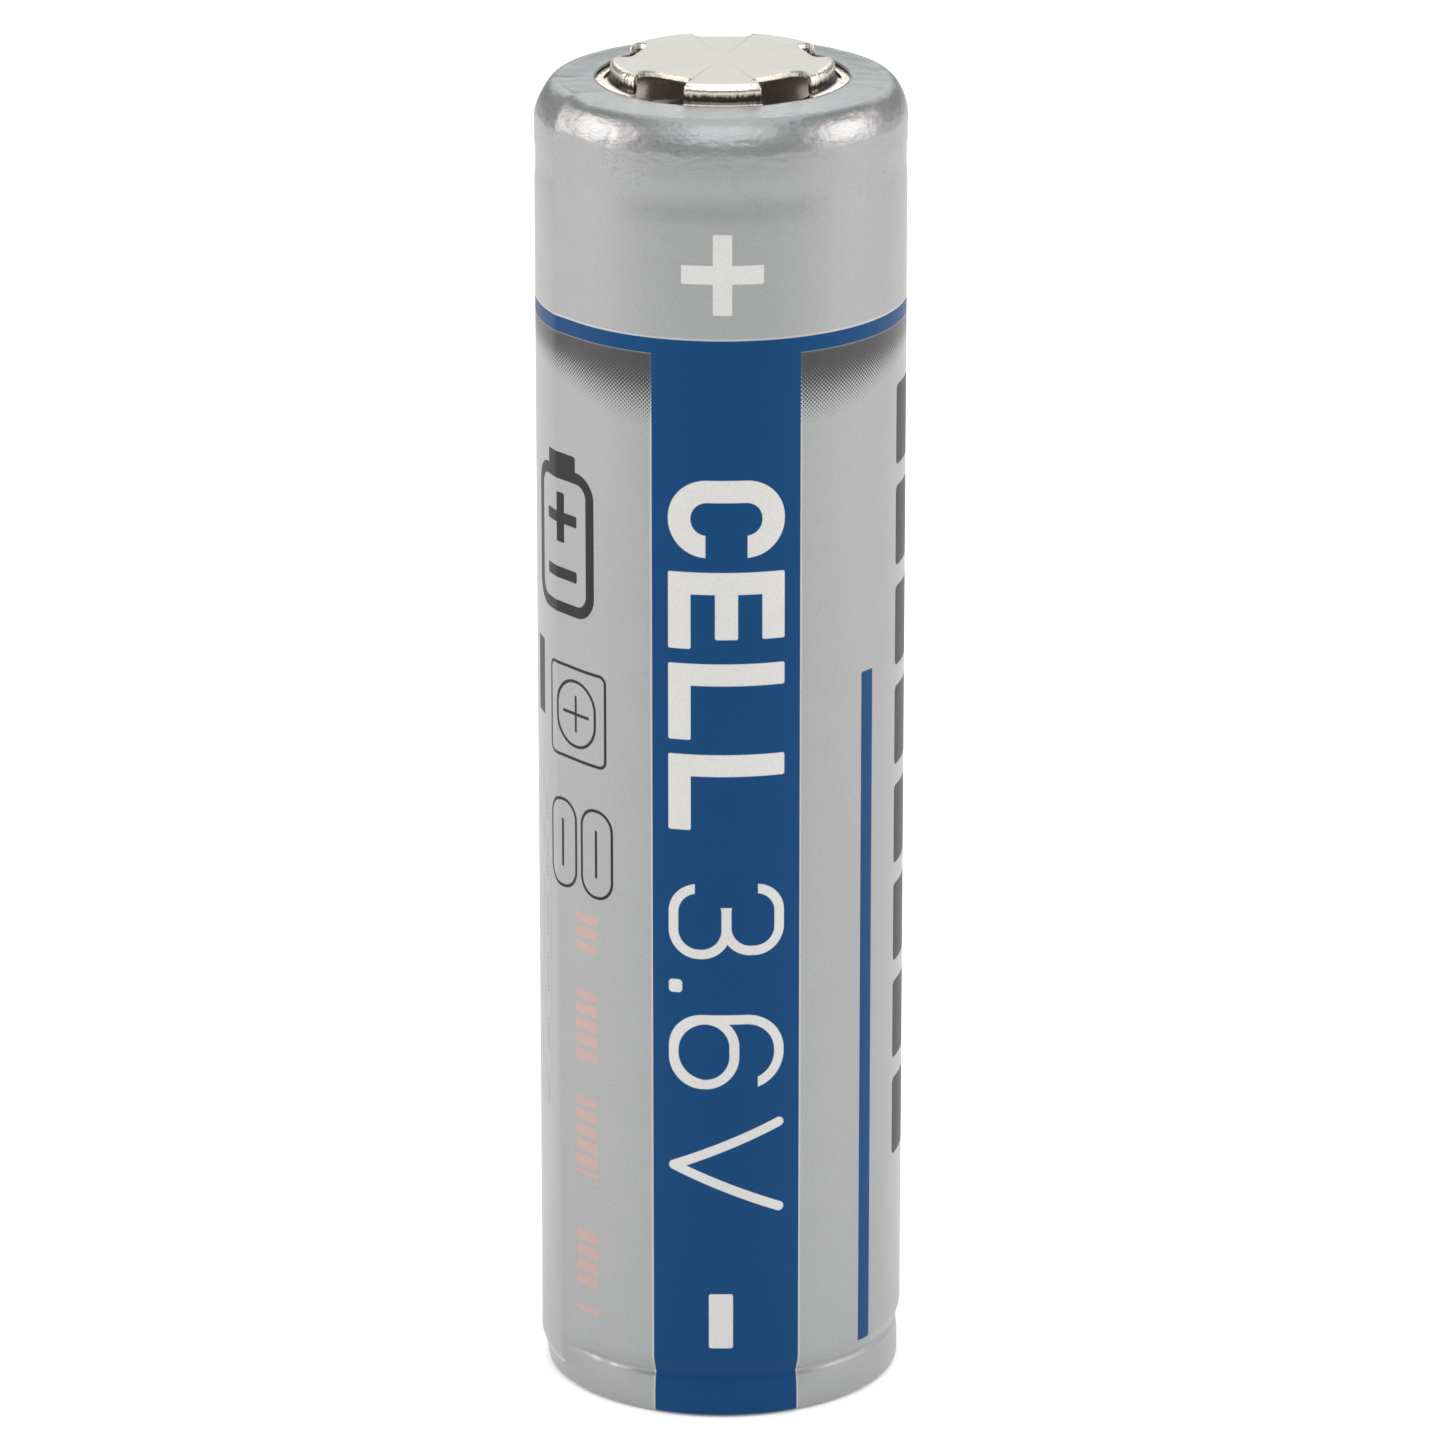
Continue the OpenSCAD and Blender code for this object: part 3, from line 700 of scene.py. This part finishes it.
def makePlateMaterial():                   # nickel plate: a fine satin face, and drawn walls painted paler as a highlight, with a painted dark reflection band low on them
    p = plateFinish
    material, tree, shader, place = newMaterial("nickelPlate")
    up = useGroup(tree, wrapPlace, {"Place": place})["Up"]
    wallLines, faceLines = (useGroup(tree, scratches, {"Place": place, **p[name]})["Lines"]
                            for name in ("wallMarks", "faceMarks"))
    speck = useSpeckle(tree, place, *p["speckle"])

    def rampBelowTop(height, fade, *ends):
        deep, shallow = fade
        return ramp(tree, height, buttonHigh.z / mm - deep, buttonHigh.z / mm - shallow, *ends)

    onFace = rampBelowTop(up, p["faceFade"])
    # painted dark reflection band on the lower walls, made uneven along the drawn lines
    edge = calc(tree, "MULTIPLY_ADD", wallLines, p["darkReflectionUneven"], up)
    darkReflection = rampBelowTop(edge, p["darkReflectionFade"], p["darkReflectionAmount"], 0.0)
    darkReflection = multiply(tree, darkReflection, rampBelowTop(up, p["darkReflectionFoot"]))
    # the paler wall colour is a painted highlight on the walls
    paint = mixColour(tree, onFace, colour(p["wall"]), colour(p["face"]))
    paint = mixColour(tree, darkReflection, paint, colour(p["darkReflection"]))
    shader.inputs["Metallic"].default_value = 1.0
    rough = vary(tree, blend(tree, onFace, p["wallRough"], p["faceRough"]), speck["Grain"], p["roughSwing"])
    wallMarks = multiply(tree, subtract(tree, wallLines, 0.5), subtract(tree, 1.0, onFace))
    faceMarks = multiply(tree, subtract(tree, faceLines, 0.5), onFace)
    walls = bumpNormal(tree, wallMarks, p["wallBump"])
    normal = bumpNormal(tree, faceMarks, p["faceBump"], under=walls)
    finishShader(tree, shader, paint, speck["Shade"], rough, normal)
    return material


along, across, evenly = (1.0, 1.0, 0.06), (1.0, 0.06, 1.0), (1.0, 1.0, 1.0)
metals = {                                 # slot: name, colour, roughness, stretch and spacing of the marks
    "nickel_strip": ("rolledNickel", "c4c0b8", 0.30, along, 0.2),
    "can_steel": ("drawnCanSteel", "b7b8b8", 0.28, along, 0.3),
    "cap_steel": ("pressedCapSteel", "aeaca6", 0.32, evenly, 0.25),
    "soft_aluminium": ("softAluminium", "d4d5d6", 0.38, across, 0.2),
    "pin_steel": ("pinSteel", "b9babb", 0.22, along, 0.15),
    "solder": ("solder", "c6c6c8", 0.25, evenly, 0.6, 0.03),
}
dulls = {                                  # slot: name, colour, roughness, second colour, grain, mottling
    "polyimide_tape": ("amberTape", "c07c22", 0.22, "b57119", 0.3, 3.0, 0.05),
    "clear_tape": ("strapTape", "e2ddcc", 0.24, "dad3be", 0.3, 3.0, 0.05),
    "cell_wrap": ("bareCellWrap", "2f7a54", 0.28, "2a7150", 0.2, 4.0, 0.05),
    "gasket_plastic": ("gasketPlastic", "dcdcd2", 0.42, "d2d2c6", 0.2, 2.0, 0.06),
    "ptc_polymer": ("ptcPolymer", "232325", 0.6, "2b2a2a", 0.12, 1.0, 0.2),
    "insulating_paper": ("fishPaper", "e8e4d4", 0.75, "dfdac6", 0.08, 0.9, 0.14, 0.02),
    "red_fibre": ("redFibre", "a8402c", 0.7, "9a3725", 0.08, 0.8, 0.18, 0.02),
    "cathode_coating": ("cathodeCoating", "1c1c1f", 0.8, "222225", 0.05, 1.2, 0.2, 0.006),
    "anode_coating": ("anodeCoating", "2b2725", 0.75, "33302d", 0.05, 1.2, 0.2, 0.006),
    "separator_film": ("separatorFilm", "efefec", 0.5, "e6e6e2", 0.04, 2.0, 0.05),
    "closing_tape": ("rollTape", "a4c48b", 0.25, "9abb80", 0.3, 3.0, 0.05),
    "board_laminate": ("boardMask", "145236", 0.32, "185a3c", 0.1, 1.4, 0.12),
    "chip_epoxy": ("chipEpoxy", "1b1b1c", 0.55, "202021", 0.05, 0.6, 0.2),
    "resistor_body": ("resistorBody", "1f1f22", 0.35, "26262a", 0.06, 0.5, 0.15),
    "capacitor_body": ("capacitorBody", "8a6a48", 0.45, "7e6040", 0.06, 0.5, 0.15),
}

finishes = {"sleeve": makeSleeveMaterial(), "button_nickel": makePlateMaterial()}
finishes.update({slot: metalMaterial(*values) for slot, values in metals.items()})
finishes.update({slot: dullMaterial(*values) for slot, values in dulls.items()})
print("finishes made:", len(finishes))


# Sleeve

sleeveShape = {                            # mm
    "thick": 0.13, "baseStep": 0.15, "baseRound": 0.25,
    "boardTop": 1.1, "creaseUp": 2.25, "creaseDepth": 0.23, "wallUp": 3.25, "nipDepth": 0.08, "nipHalf": 0.14,
    "beadUp": 64.5, "waistHalf": 1.28, "waistDepth": 0.05,
    "shoulderWide": 0.93, "shoulderTall": 1.73, "shoulderFlat": 1.2, "lipRise": 0.15, "lipAt": 6.6,
    "rimBead": 0.02, "topHole": 6.35, "baseHole": 6.9,
    "rowsWall": 84, "around": 384,
}
ridge = {                                  # degrees from the front, and mm
    "angle": -74.5, "flat": 10.9, "reach": 23.3, "dip": 0.03, "dipHalf": 12.4,
    "footFade": (0.7, 1.7), "rimFade": (6.7, 8.6), "bridgeFade": 0.2,
}
film = {                                   # each noise: scale around, scale up, seed; fades and depths in mm
    "pleats": (5.0, 0.35, 2.0), "pleatDepth": 0.05, "pleatsBelow": (1.2, 6.5), "pleatsAbove": (63.0, 66.5),
    "waves": (1.1, 0.11, 7.0), "waveDepth": 0.012,
    "wander": (2.2, 0.02, 4.0), "wanderDepth": 0.16, "wanderFade": (6.3, 7.4),
}
foldSizes = ("At", "Low", "High", "Lean", "Half Width", "Depth")       # degrees round, mm up, mm deep
folds = (
    (-38.0, 65.2, 68.4, 1.5, 1.1, -0.035),
    (-60.0, 62.5, 68.0, -3.0, 1.6, -0.02),
    (33.0, 66.0, 68.4, -2.0, 1.6, 0.012),
    (-52.0, 1.0, 5.5, -6.0, 2.2, -0.03),
    (-40.0, 0.8, 3.4, 8.0, 1.6, -0.02),
    (38.0, 1.6, 4.4, 12.0, 2.0, -0.015),
    (120.0, 0.8, 4.5, 5.0, 2.4, -0.03),
    (165.0, 65.0, 68.4, 2.0, 1.5, -0.03),
    (-130.0, 64.5, 68.4, -2.5, 1.8, -0.03),
)


def sleeveOutline(grow):                   # half section in mm, from the base hole up to the top hole,
    # as (radius, grow, height), moved outwards by grow
    s = sleeveShape
    radius, base, lip = wallR / mm, sleeveLow.z / mm, sleeveHigh.z / mm
    foot = radius - s["baseStep"]
    crease = radius - s["creaseDepth"]
    points = [(s["baseHole"], base - grow), (s["baseHole"] + 0.4, base - grow), (8.0, base - grow)]
    for i in range(6):
        a = math.radians(-90 + 18 * i)
        points.append((foot - s["baseRound"] + (s["baseRound"] + grow) * math.cos(a),
                       base + s["baseRound"] + (s["baseRound"] + grow) * math.sin(a)))
    for (r0, z0), (r1, z1), steps in (((foot, s["boardTop"]), (crease, s["creaseUp"]), 12),
                                      ((crease, s["creaseUp"]), (radius, s["wallUp"]), 12)):
        for i in range(steps):
            t = i / steps
            z = z0 + (z1 - z0) * t
            nip = s["nipDepth"] * math.exp(-((z - s["creaseUp"]) / s["nipHalf"]) ** 2)
            points.append((r0 + (r1 - r0) * smooth(t) - nip + grow, z))
    waistLow = s["beadUp"] - s["waistHalf"]
    for i in range(s["rowsWall"]):
        points.append((radius + grow, s["wallUp"] + (waistLow - s["wallUp"]) * i / s["rowsWall"]))
    for i in range(-9, 10):
        dip = s["waistDepth"] * math.cos(math.radians(10 * i)) ** 2
        points.append((radius - dip + grow, s["beadUp"] + s["waistHalf"] * i / 9))
    middleR = radius - s["shoulderWide"]
    middleZ = lip - s["lipRise"] - s["shoulderTall"]
    for i in range(19):
        a = math.radians(5 * i)
        out, up = (abs(part) ** s["shoulderFlat"] for part in (math.cos(a), math.sin(a)))
        points.append((middleR + (s["shoulderWide"] + grow) * out, middleZ + (s["shoulderTall"] + grow) * up))
    points.append((middleR - 0.08, lip - s["lipRise"] + s["rimBead"] + grow))      # a fine raised line
    points.append((middleR - 0.18, lip - s["lipRise"] + 0.004 + grow))
    for r in (7.9, 7.6, 7.2, 6.9, s["lipAt"], (s["lipAt"] + s["topHole"]) / 2, s["topHole"]):
        rise = min(1, (middleR - r) / (middleR - s["lipAt"]))
        points.append((r, lip - s["lipRise"] * (1 - rise) + grow))
    return [(r, grow, z) for r, z in points]


def sleeveSection():                       # outside going up, then the inside coming down, closed
    inner = sleeveOutline(-sleeveShape["thick"])
    thinned = [p for i, p in enumerate(inner) if i % 3 == 0 or i in (0, len(inner) - 1)]
    return sleeveOutline(0) + thinned[::-1]


def makeFoldGroup():                       # one long dent or pleat in the film
    tree, ins, outs = newGroup("filmFold", "GeometryNodeTree",
                               [(name, "Float") for name in ("Angle", "Height") + foldSizes],
                               [("Push", "Float")])
    middle = multiply(tree, add(tree, ins["Low"], ins["High"]), 0.5)
    half = multiply(tree, subtract(tree, ins["High"], ins["Low"]), 0.5)
    up = subtract(tree, ins["Height"], middle)
    centre = calc(tree, "MULTIPLY_ADD", up, ins["Lean"], ins["At"])
    off = divide(tree, subtract(tree, ins["Angle"], centre), ins["Half Width"])
    bell = calc(tree, "EXPONENT", multiply(tree, off, off, -1.0))
    ends = ramp(tree, absolute(tree, divide(tree, up, half)), 0.3, 1.0, 1.0, 0.0)
    feed(tree, outs["Push"], multiply(tree, bell, ends, ins["Depth"]))
    return tree


def makeSleeveTree(rows):
    sizes = ("Wall Radius", "Shoulder Height", "Lip Height", "Ridge Angle", "Ridge Flat", "Ridge Reach",
             "Wrinkle Depth", "Wave Depth", "Edge Wander")
    tree, ins, outs = newGroup("shrunkSleeve", "GeometryNodeTree",
                               [("Geometry", "Geometry"), ("Around", "Int"), ("Finish", "Material")]
                               + [(size, "Float") for size in sizes], [("Geometry", "Geometry")])
    grid = addNode(tree, "GeometryNodeMeshGrid")
    grid.inputs["Size X"].default_value = 1.0
    grid.inputs["Size Y"].default_value = 1.0
    feed(tree, grid.inputs["Vertices X"], add(tree, ins["Around"], 1))
    grid.inputs["Vertices Y"].default_value = rows
    gridX, gridY = split(tree, addNode(tree, "GeometryNodeInputPosition").outputs[0])[:2]
    row = calc(tree, "ROUND", multiply(tree, add(tree, gridY, 0.5), rows - 1))
    sample = addNode(tree, "GeometryNodeSampleIndex", data_type="FLOAT_VECTOR", domain="POINT")
    feed(tree, sample.inputs["Geometry"], ins["Geometry"])
    feed(tree, sample.inputs["Value"], addNode(tree, "GeometryNodeInputPosition").outputs[0])
    feed(tree, sample.inputs["Index"], row)
    radius, grown, height = split(tree, sample.outputs[0])       # grown is below 0 on the inside
    degrees = multiply(tree, gridX, 360.0)
    turn = calc(tree, "RADIANS", degrees)
    sine, cosine = calc(tree, "SINE", turn), calc(tree, "COSINE", turn)

    # The lead's ridge: the film runs straight from the lead's edge to where it meets the wall
    off = absolute(tree, subtract(tree, degrees, ins["Ridge Angle"]))
    tent = largest(tree, subtract(tree, ins["Ridge Reach"], off), 0.0)
    tent = smallest(tree, tent, ins["Ridge Flat"])
    secant = divide(tree, 1.0, calc(tree, "COSINE", calc(tree, "RADIANS", tent)))
    rise = multiply(tree, subtract(tree, secant, 1.0), ins["Wall Radius"])
    share = divide(tree, off, ridge["dipHalf"], clamp=True)
    dip = multiply(tree, subtract(tree, 1.0, multiply(tree, share, share)), ridge["dip"])
    rise = largest(tree, subtract(tree, rise, dip), 0.0)
    # Under the ridge the film also bridges the crease
    bridge = subtract(tree, add(tree, ins["Wall Radius"], grown), radius)
    bridge = multiply(tree, bridge, divide(tree, tent, ins["Ridge Flat"]))
    top = sleeveShape["wallUp"]
    bridge = multiply(tree, bridge, ramp(tree, height, top, top + ridge["bridgeFade"], 1.0, 0.0))
    rise = multiply(tree, add(tree, rise, bridge), ramp(tree, height, *ridge["footFade"]),
                    ramp(tree, radius, *ridge["rimFade"]))

    # Pleats where the film shrinks over an edge, and slow waves on the wall
    def noise(aroundScale, upScale, seed):
        node = addNode(tree, "ShaderNodeTexNoise", noise_dimensions="4D")
        feed(tree, node.inputs["Vector"], vector(
            tree, multiply(tree, sine, aroundScale), multiply(tree, cosine, aroundScale),
            multiply(tree, height, upScale)))
        for name, value in (("W", seed), ("Scale", 1.0), ("Detail", 2.0)):
            node.inputs[name].default_value = value
        return subtract(tree, node.outputs[0], 0.5)

    nearEnds = add(tree, ramp(tree, height, *film["pleatsBelow"], 1.0, 0.0),
                   ramp(tree, height, *film["pleatsAbove"]))
    pleats = multiply(tree, noise(*film["pleats"]), ins["Wrinkle Depth"], nearEnds)
    waves = multiply(tree, noise(*film["waves"]), ins["Wave Depth"])
    push = add(tree, rise, pleats, waves)
    foldGroup = makeFoldGroup()
    for numbers in folds:
        one = {"Angle": degrees, "Height": height, **dict(zip(foldSizes, numbers))}
        push = add(tree, push, useGroup(tree, foldGroup, one)[0])

    lift = ramp(tree, height, ins["Shoulder Height"], ins["Lip Height"])
    outward = multiply(tree, push, subtract(tree, 1.0, lift))
    upward = multiply(tree, push, lift)
    wander = multiply(tree, noise(*film["wander"]), ins["Edge Wander"],
                      ramp(tree, radius, *film["wanderFade"], 1.0, 0.0))
    radius = add(tree, radius, outward, wander)
    height = add(tree, height, upward)
    place = vector(tree, multiply(tree, radius, sine), multiply(tree, radius, cosine, -1.0), height)
    shape = grid.outputs["Mesh"]
    for kind, values in (("SetPosition", {"Position": vecCalc(tree, "MULTIPLY", place, (mm,) * 3)}),
                         ("MergeByDistance", {"Distance": 0.001 * mm}), ("SetShadeSmooth", {}),
                         ("RealizeInstances", {}), ("SetMaterial", {"Material": ins["Finish"]})):
        node = addNode(tree, "GeometryNode" + kind)
        for name, value in {0: shape, **values}.items():
            feed(tree, node.inputs[name], value)
        shape = node.outputs[0]
    feed(tree, outs[0], shape)
    return tree


def faceOutward(thing):
    work = bmesh.new()
    work.from_mesh(thing.data)
    bmesh.ops.recalc_face_normals(work, faces=work.faces)
    work.to_mesh(thing.data)
    work.free()


def makeSleeve():
    section = sleeveSection()
    section.append(section[0])
    mesh = bpy.data.meshes.new("printedSleeve")
    mesh.from_pydata(section, [(i, i + 1) for i in range(len(section) - 1)], [])
    sleeve = newObject("printedSleeve", mesh)
    form = sleeve.modifiers.new("form", "NODES")
    form.node_group = makeSleeveTree(len(section))
    lip = sleeveHigh.z / mm
    values = {"Around": sleeveShape["around"], "Wall Radius": wallR / mm, "Lip Height": lip - 0.1,
              "Shoulder Height": lip - sleeveShape["lipRise"] - sleeveShape["shoulderTall"],
              "Ridge Angle": ridge["angle"], "Ridge Flat": ridge["flat"], "Ridge Reach": ridge["reach"],
              "Wrinkle Depth": film["pleatDepth"], "Wave Depth": film["waveDepth"],
              "Edge Wander": film["wanderDepth"],
              "Finish": finishes["sleeve"]}
    for label, value in values.items():
        setInput(form, label, value)
    bakeModifiers(sleeve)
    faceOutward(sleeve)
    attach(sleeve, "root")
    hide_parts("outer_sleeve")
    print("sleeve made:", len(sleeve.data.polygons), "faces")


makeSleeve()


# Button plate

buttonShape = {                            # mm
    "radius": 5.6, "sheet": 0.3, "topRound": 0.45, "fillet": 0.35, "windows": 5,
    "windowHalf": 1.55, "windowIn": 4.3, "windowCorner": 0.6, "windowOut": 5.95, "edgeRound": 0.07,
    "columns": 14, "rings": 8, "hub": 0.08, "roundSteps": 7, "weld": 0.004,
}


def buttonProfile(count, inside):          # from the window's corner to the flange, on one face of the sheet
    b = buttonShape
    deep = b["sheet"] if inside else 0.0
    top, flangeTop = buttonHigh.z / mm - deep, buttonLow.z / mm + b["sheet"] - deep
    wall, roundTop, roundFoot = b["radius"] - deep, b["topRound"] - deep, b["fillet"] + deep
    points = [(math.hypot(b["windowIn"] + b["windowCorner"], b["windowHalf"]), top)]
    for i in range(count + 1):
        a = math.radians(90 - 90 * i / count)
        points.append((wall - roundTop * (1 - math.cos(a)), top - roundTop * (1 - math.sin(a))))
    fall = top - roundTop - flangeTop - roundFoot
    points += [(wall, top - roundTop - fall * (i + 1) / 3) for i in range(3)]
    for i in range(1, count + 1):
        a = math.radians(90 * i / count)
        points.append((wall + roundFoot * (1 - math.cos(a)), flangeTop + roundFoot * (1 - math.sin(a))))
    reach = buttonHigh.x / mm - b["windowOut"]
    return points, [(b["windowOut"] + reach * i / 4, flangeTop) for i in range(1, 5)]


def windowEdge(count):                     # half of the window's inner edge, from its middle to its side
    b = buttonShape
    corner = b["windowCorner"]
    straight = b["windowHalf"] - corner
    points = [(b["windowIn"], straight * i / count) for i in range(count)]
    for i in range(count + 1):
        a = math.radians(90 * i / count)
        points.append((b["windowIn"] + corner - corner * math.cos(a), straight + corner * math.sin(a)))
    return points


def makeButton():
    b = buttonShape
    share = math.pi / b["windows"]         # half of one window's part of the circle
    cols = b["columns"]

    def legAngle(radius, t):
        side = math.asin(b["windowHalf"] / radius)
        return side + (share - side) * t

    def sheetPlaces(inside):               # (radius, angle, height) grids for half a window and half a leg
        leg, flange = buttonProfile(b["roundSteps"], inside)
        startR, top = leg[0]
        rim = [(math.hypot(x, y), math.atan2(y, x)) for x, y in windowEdge(cols // 2)]
        rim += [(startR, legAngle(startR, i / cols)) for i in range(1, cols + 1)]
        shares = [b["hub"] + (1 - b["hub"]) * ring / b["rings"] for ring in range(b["rings"] + 1)]
        core = [[(r * part, a, top) for r, a in rim] for part in shares]
        legs = [[(r, legAngle(r, i / cols), z) for i in range(cols + 1)] for r, z in leg]
        footR, footZ = leg[-1]
        side = math.asin(b["windowHalf"] / footR)
        angles = [side * i / cols for i in range(cols)] + [legAngle(footR, i / cols) for i in range(cols + 1)]
        foot = [[(r, a, z) for a in angles] for r, z in [(footR, footZ)] + flange]
        hub = [[(0.0, 0.0, top)] * len(rim), core[0]]
        return [hub, core, legs, foot]

    work = bmesh.new()
    outside, twin = [], {}
    for k in range(b["windows"]):
        for hand in (1, -1):
            base = math.radians(90) + 2 * share * k
            for outer, inner in zip(sheetPlaces(False), sheetPlaces(True)):
                sheets = []
                for patch in (outer, inner):
                    sheets.append([[work.verts.new((r * math.cos(base + hand * a) * mm,
                                                    r * math.sin(base + hand * a) * mm, z * mm))
                                    for r, a, z in row] for row in patch])
                for rowOut, rowIn in zip(*sheets):
                    twin.update(zip(rowOut, rowIn))
                for low, high in zip(sheets[0], sheets[0][1:]):
                    for c in range(len(low) - 1):
                        outside.append(work.faces.new((low[c], low[c + 1], high[c + 1], high[c])))
    # The two faces of the sheet are welded apart from each other, then the cut edges are closed
    places, lead = {}, {}
    for v in twin:
        key = tuple(round(c / (b["weld"] * mm)) for c in v.co)
        lead[v] = places.setdefault(key, v)
    corners = []
    for face in outside:
        loop = list(dict.fromkeys(lead[v] for v in face.verts))
        if len(loop) > 2:
            corners.append(loop)
    order = {v: n for n, v in enumerate(dict.fromkeys(v for loop in corners for v in loop))}
    outerPoints = [v.co.copy() for v in order]
    innerPoints = [twin[v].co.copy() for v in order]
    faces = [[order[v] for v in loop] for loop in corners]
    work.free()

    count = len(outerPoints)
    edgeUse = {}
    for loop in faces:
        for a, c in zip(loop, loop[1:] + loop[:1]):
            edgeUse.setdefault(frozenset((a, c)), []).append((a, c))
    cut = [use[0] for use in edgeUse.values() if len(use) == 1]
    allFaces = faces + [[n + count for n in reversed(loop)] for loop in faces]
    allFaces += [(c, a, a + count, c + count) for a, c in cut]
    mesh = bpy.data.meshes.new("buttonPlate")
    mesh.from_pydata(outerPoints + innerPoints, [], allFaces)
    plate = newObject("buttonPlate", mesh)
    faceOutward(plate)
    mesh.materials.append(finishes["button_nickel"])
    outerCut = {frozenset(pair) for pair in cut}
    weight = mesh.attributes.new("bevel_weight_edge", "FLOAT", "EDGE")
    weight.data.foreach_set("value", [1.0 if frozenset(e.vertices) in outerCut else 0.0 for e in mesh.edges])
    soften = plate.modifiers.new("soften", "BEVEL")
    soften.width = b["edgeRound"] * mm
    soften.segments = 3
    soften.limit_method = "WEIGHT"
    soften.use_clamp_overlap = True
    bakeModifiers(plate)
    plate.data.polygons.foreach_set("use_smooth", [True] * len(plate.data.polygons))
    plate.data.set_sharp_from_angle(angle=math.radians(50))
    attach(plate, "root")
    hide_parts("positive_button")
    print("button made:", len(plate.data.polygons), "faces")


makeButton()


# Negative contact

contactShape = {"edgeRound": 0.1, "grooveAt": 4.6, "grooveHalf": 0.22, "grooveDepth": 0.06, "around": 160}


def makeContact():                         # a round disc with a soft edge and one shallow turned groove
    c = contactShape
    radius, low, high = contactHigh.x / mm, contactLow.z / mm, contactHigh.z / mm
    outline = [(0.0, low)]
    for i in range(13):
        t = i / 12
        dip = c["grooveDepth"] * math.sin(math.pi * t) ** 2
        outline.append((c["grooveAt"] + c["grooveHalf"] * (2 * t - 1), low + dip))
    for i in range(7):
        a = math.radians(-90 + 15 * i)
        outline.append((radius - c["edgeRound"] + c["edgeRound"] * math.cos(a),
                        low + c["edgeRound"] + c["edgeRound"] * math.sin(a)))
    outline += [(radius, high), (0.0, high)]
    work = bmesh.new()
    rings = []
    for r, z in outline:
        if r == 0:
            rings.append([work.verts.new((0, 0, z * mm))])
            continue
        rings.append([work.verts.new((r * mm * math.cos(a), r * mm * math.sin(a), z * mm))
                      for a in (2 * math.pi * i / c["around"] for i in range(c["around"]))])
    for low, high in zip(rings, rings[1:]):
        for i in range(c["around"]):
            j = (i + 1) % c["around"]
            corners = (low[i % len(low)], low[j % len(low)], high[j % len(high)], high[i % len(high)])
            work.faces.new(list(dict.fromkeys(corners)))
    bmesh.ops.recalc_face_normals(work, faces=work.faces)
    mesh = bpy.data.meshes.new("contactDisc")
    work.to_mesh(mesh)
    work.free()
    disc = newObject("contactDisc", mesh)
    mesh.polygons.foreach_set("use_smooth", [True] * len(mesh.polygons))
    mesh.set_sharp_from_angle(angle=math.radians(40))
    # the plate finish gives the whole disc its paler wall colour, a painted highlight
    mesh.materials.append(finishes["button_nickel"])
    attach(disc, "root")
    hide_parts("negative_contact_disc")
    print("contact made:", len(mesh.polygons), "faces")


makeContact()


# Finishes on the pieces inside

replaced = {"outer_sleeve", "positive_button", "negative_contact_disc"}
for piece in frame["record"]["subparts"]:
    if piece["node"] in replaced:
        continue
    inner = nodes[piece["node"]]
    inner.data.materials.clear()
    inner.data.materials.append(finishes[piece["material_slot"]])
print("inner pieces finished:", len(nodes) - len(replaced))
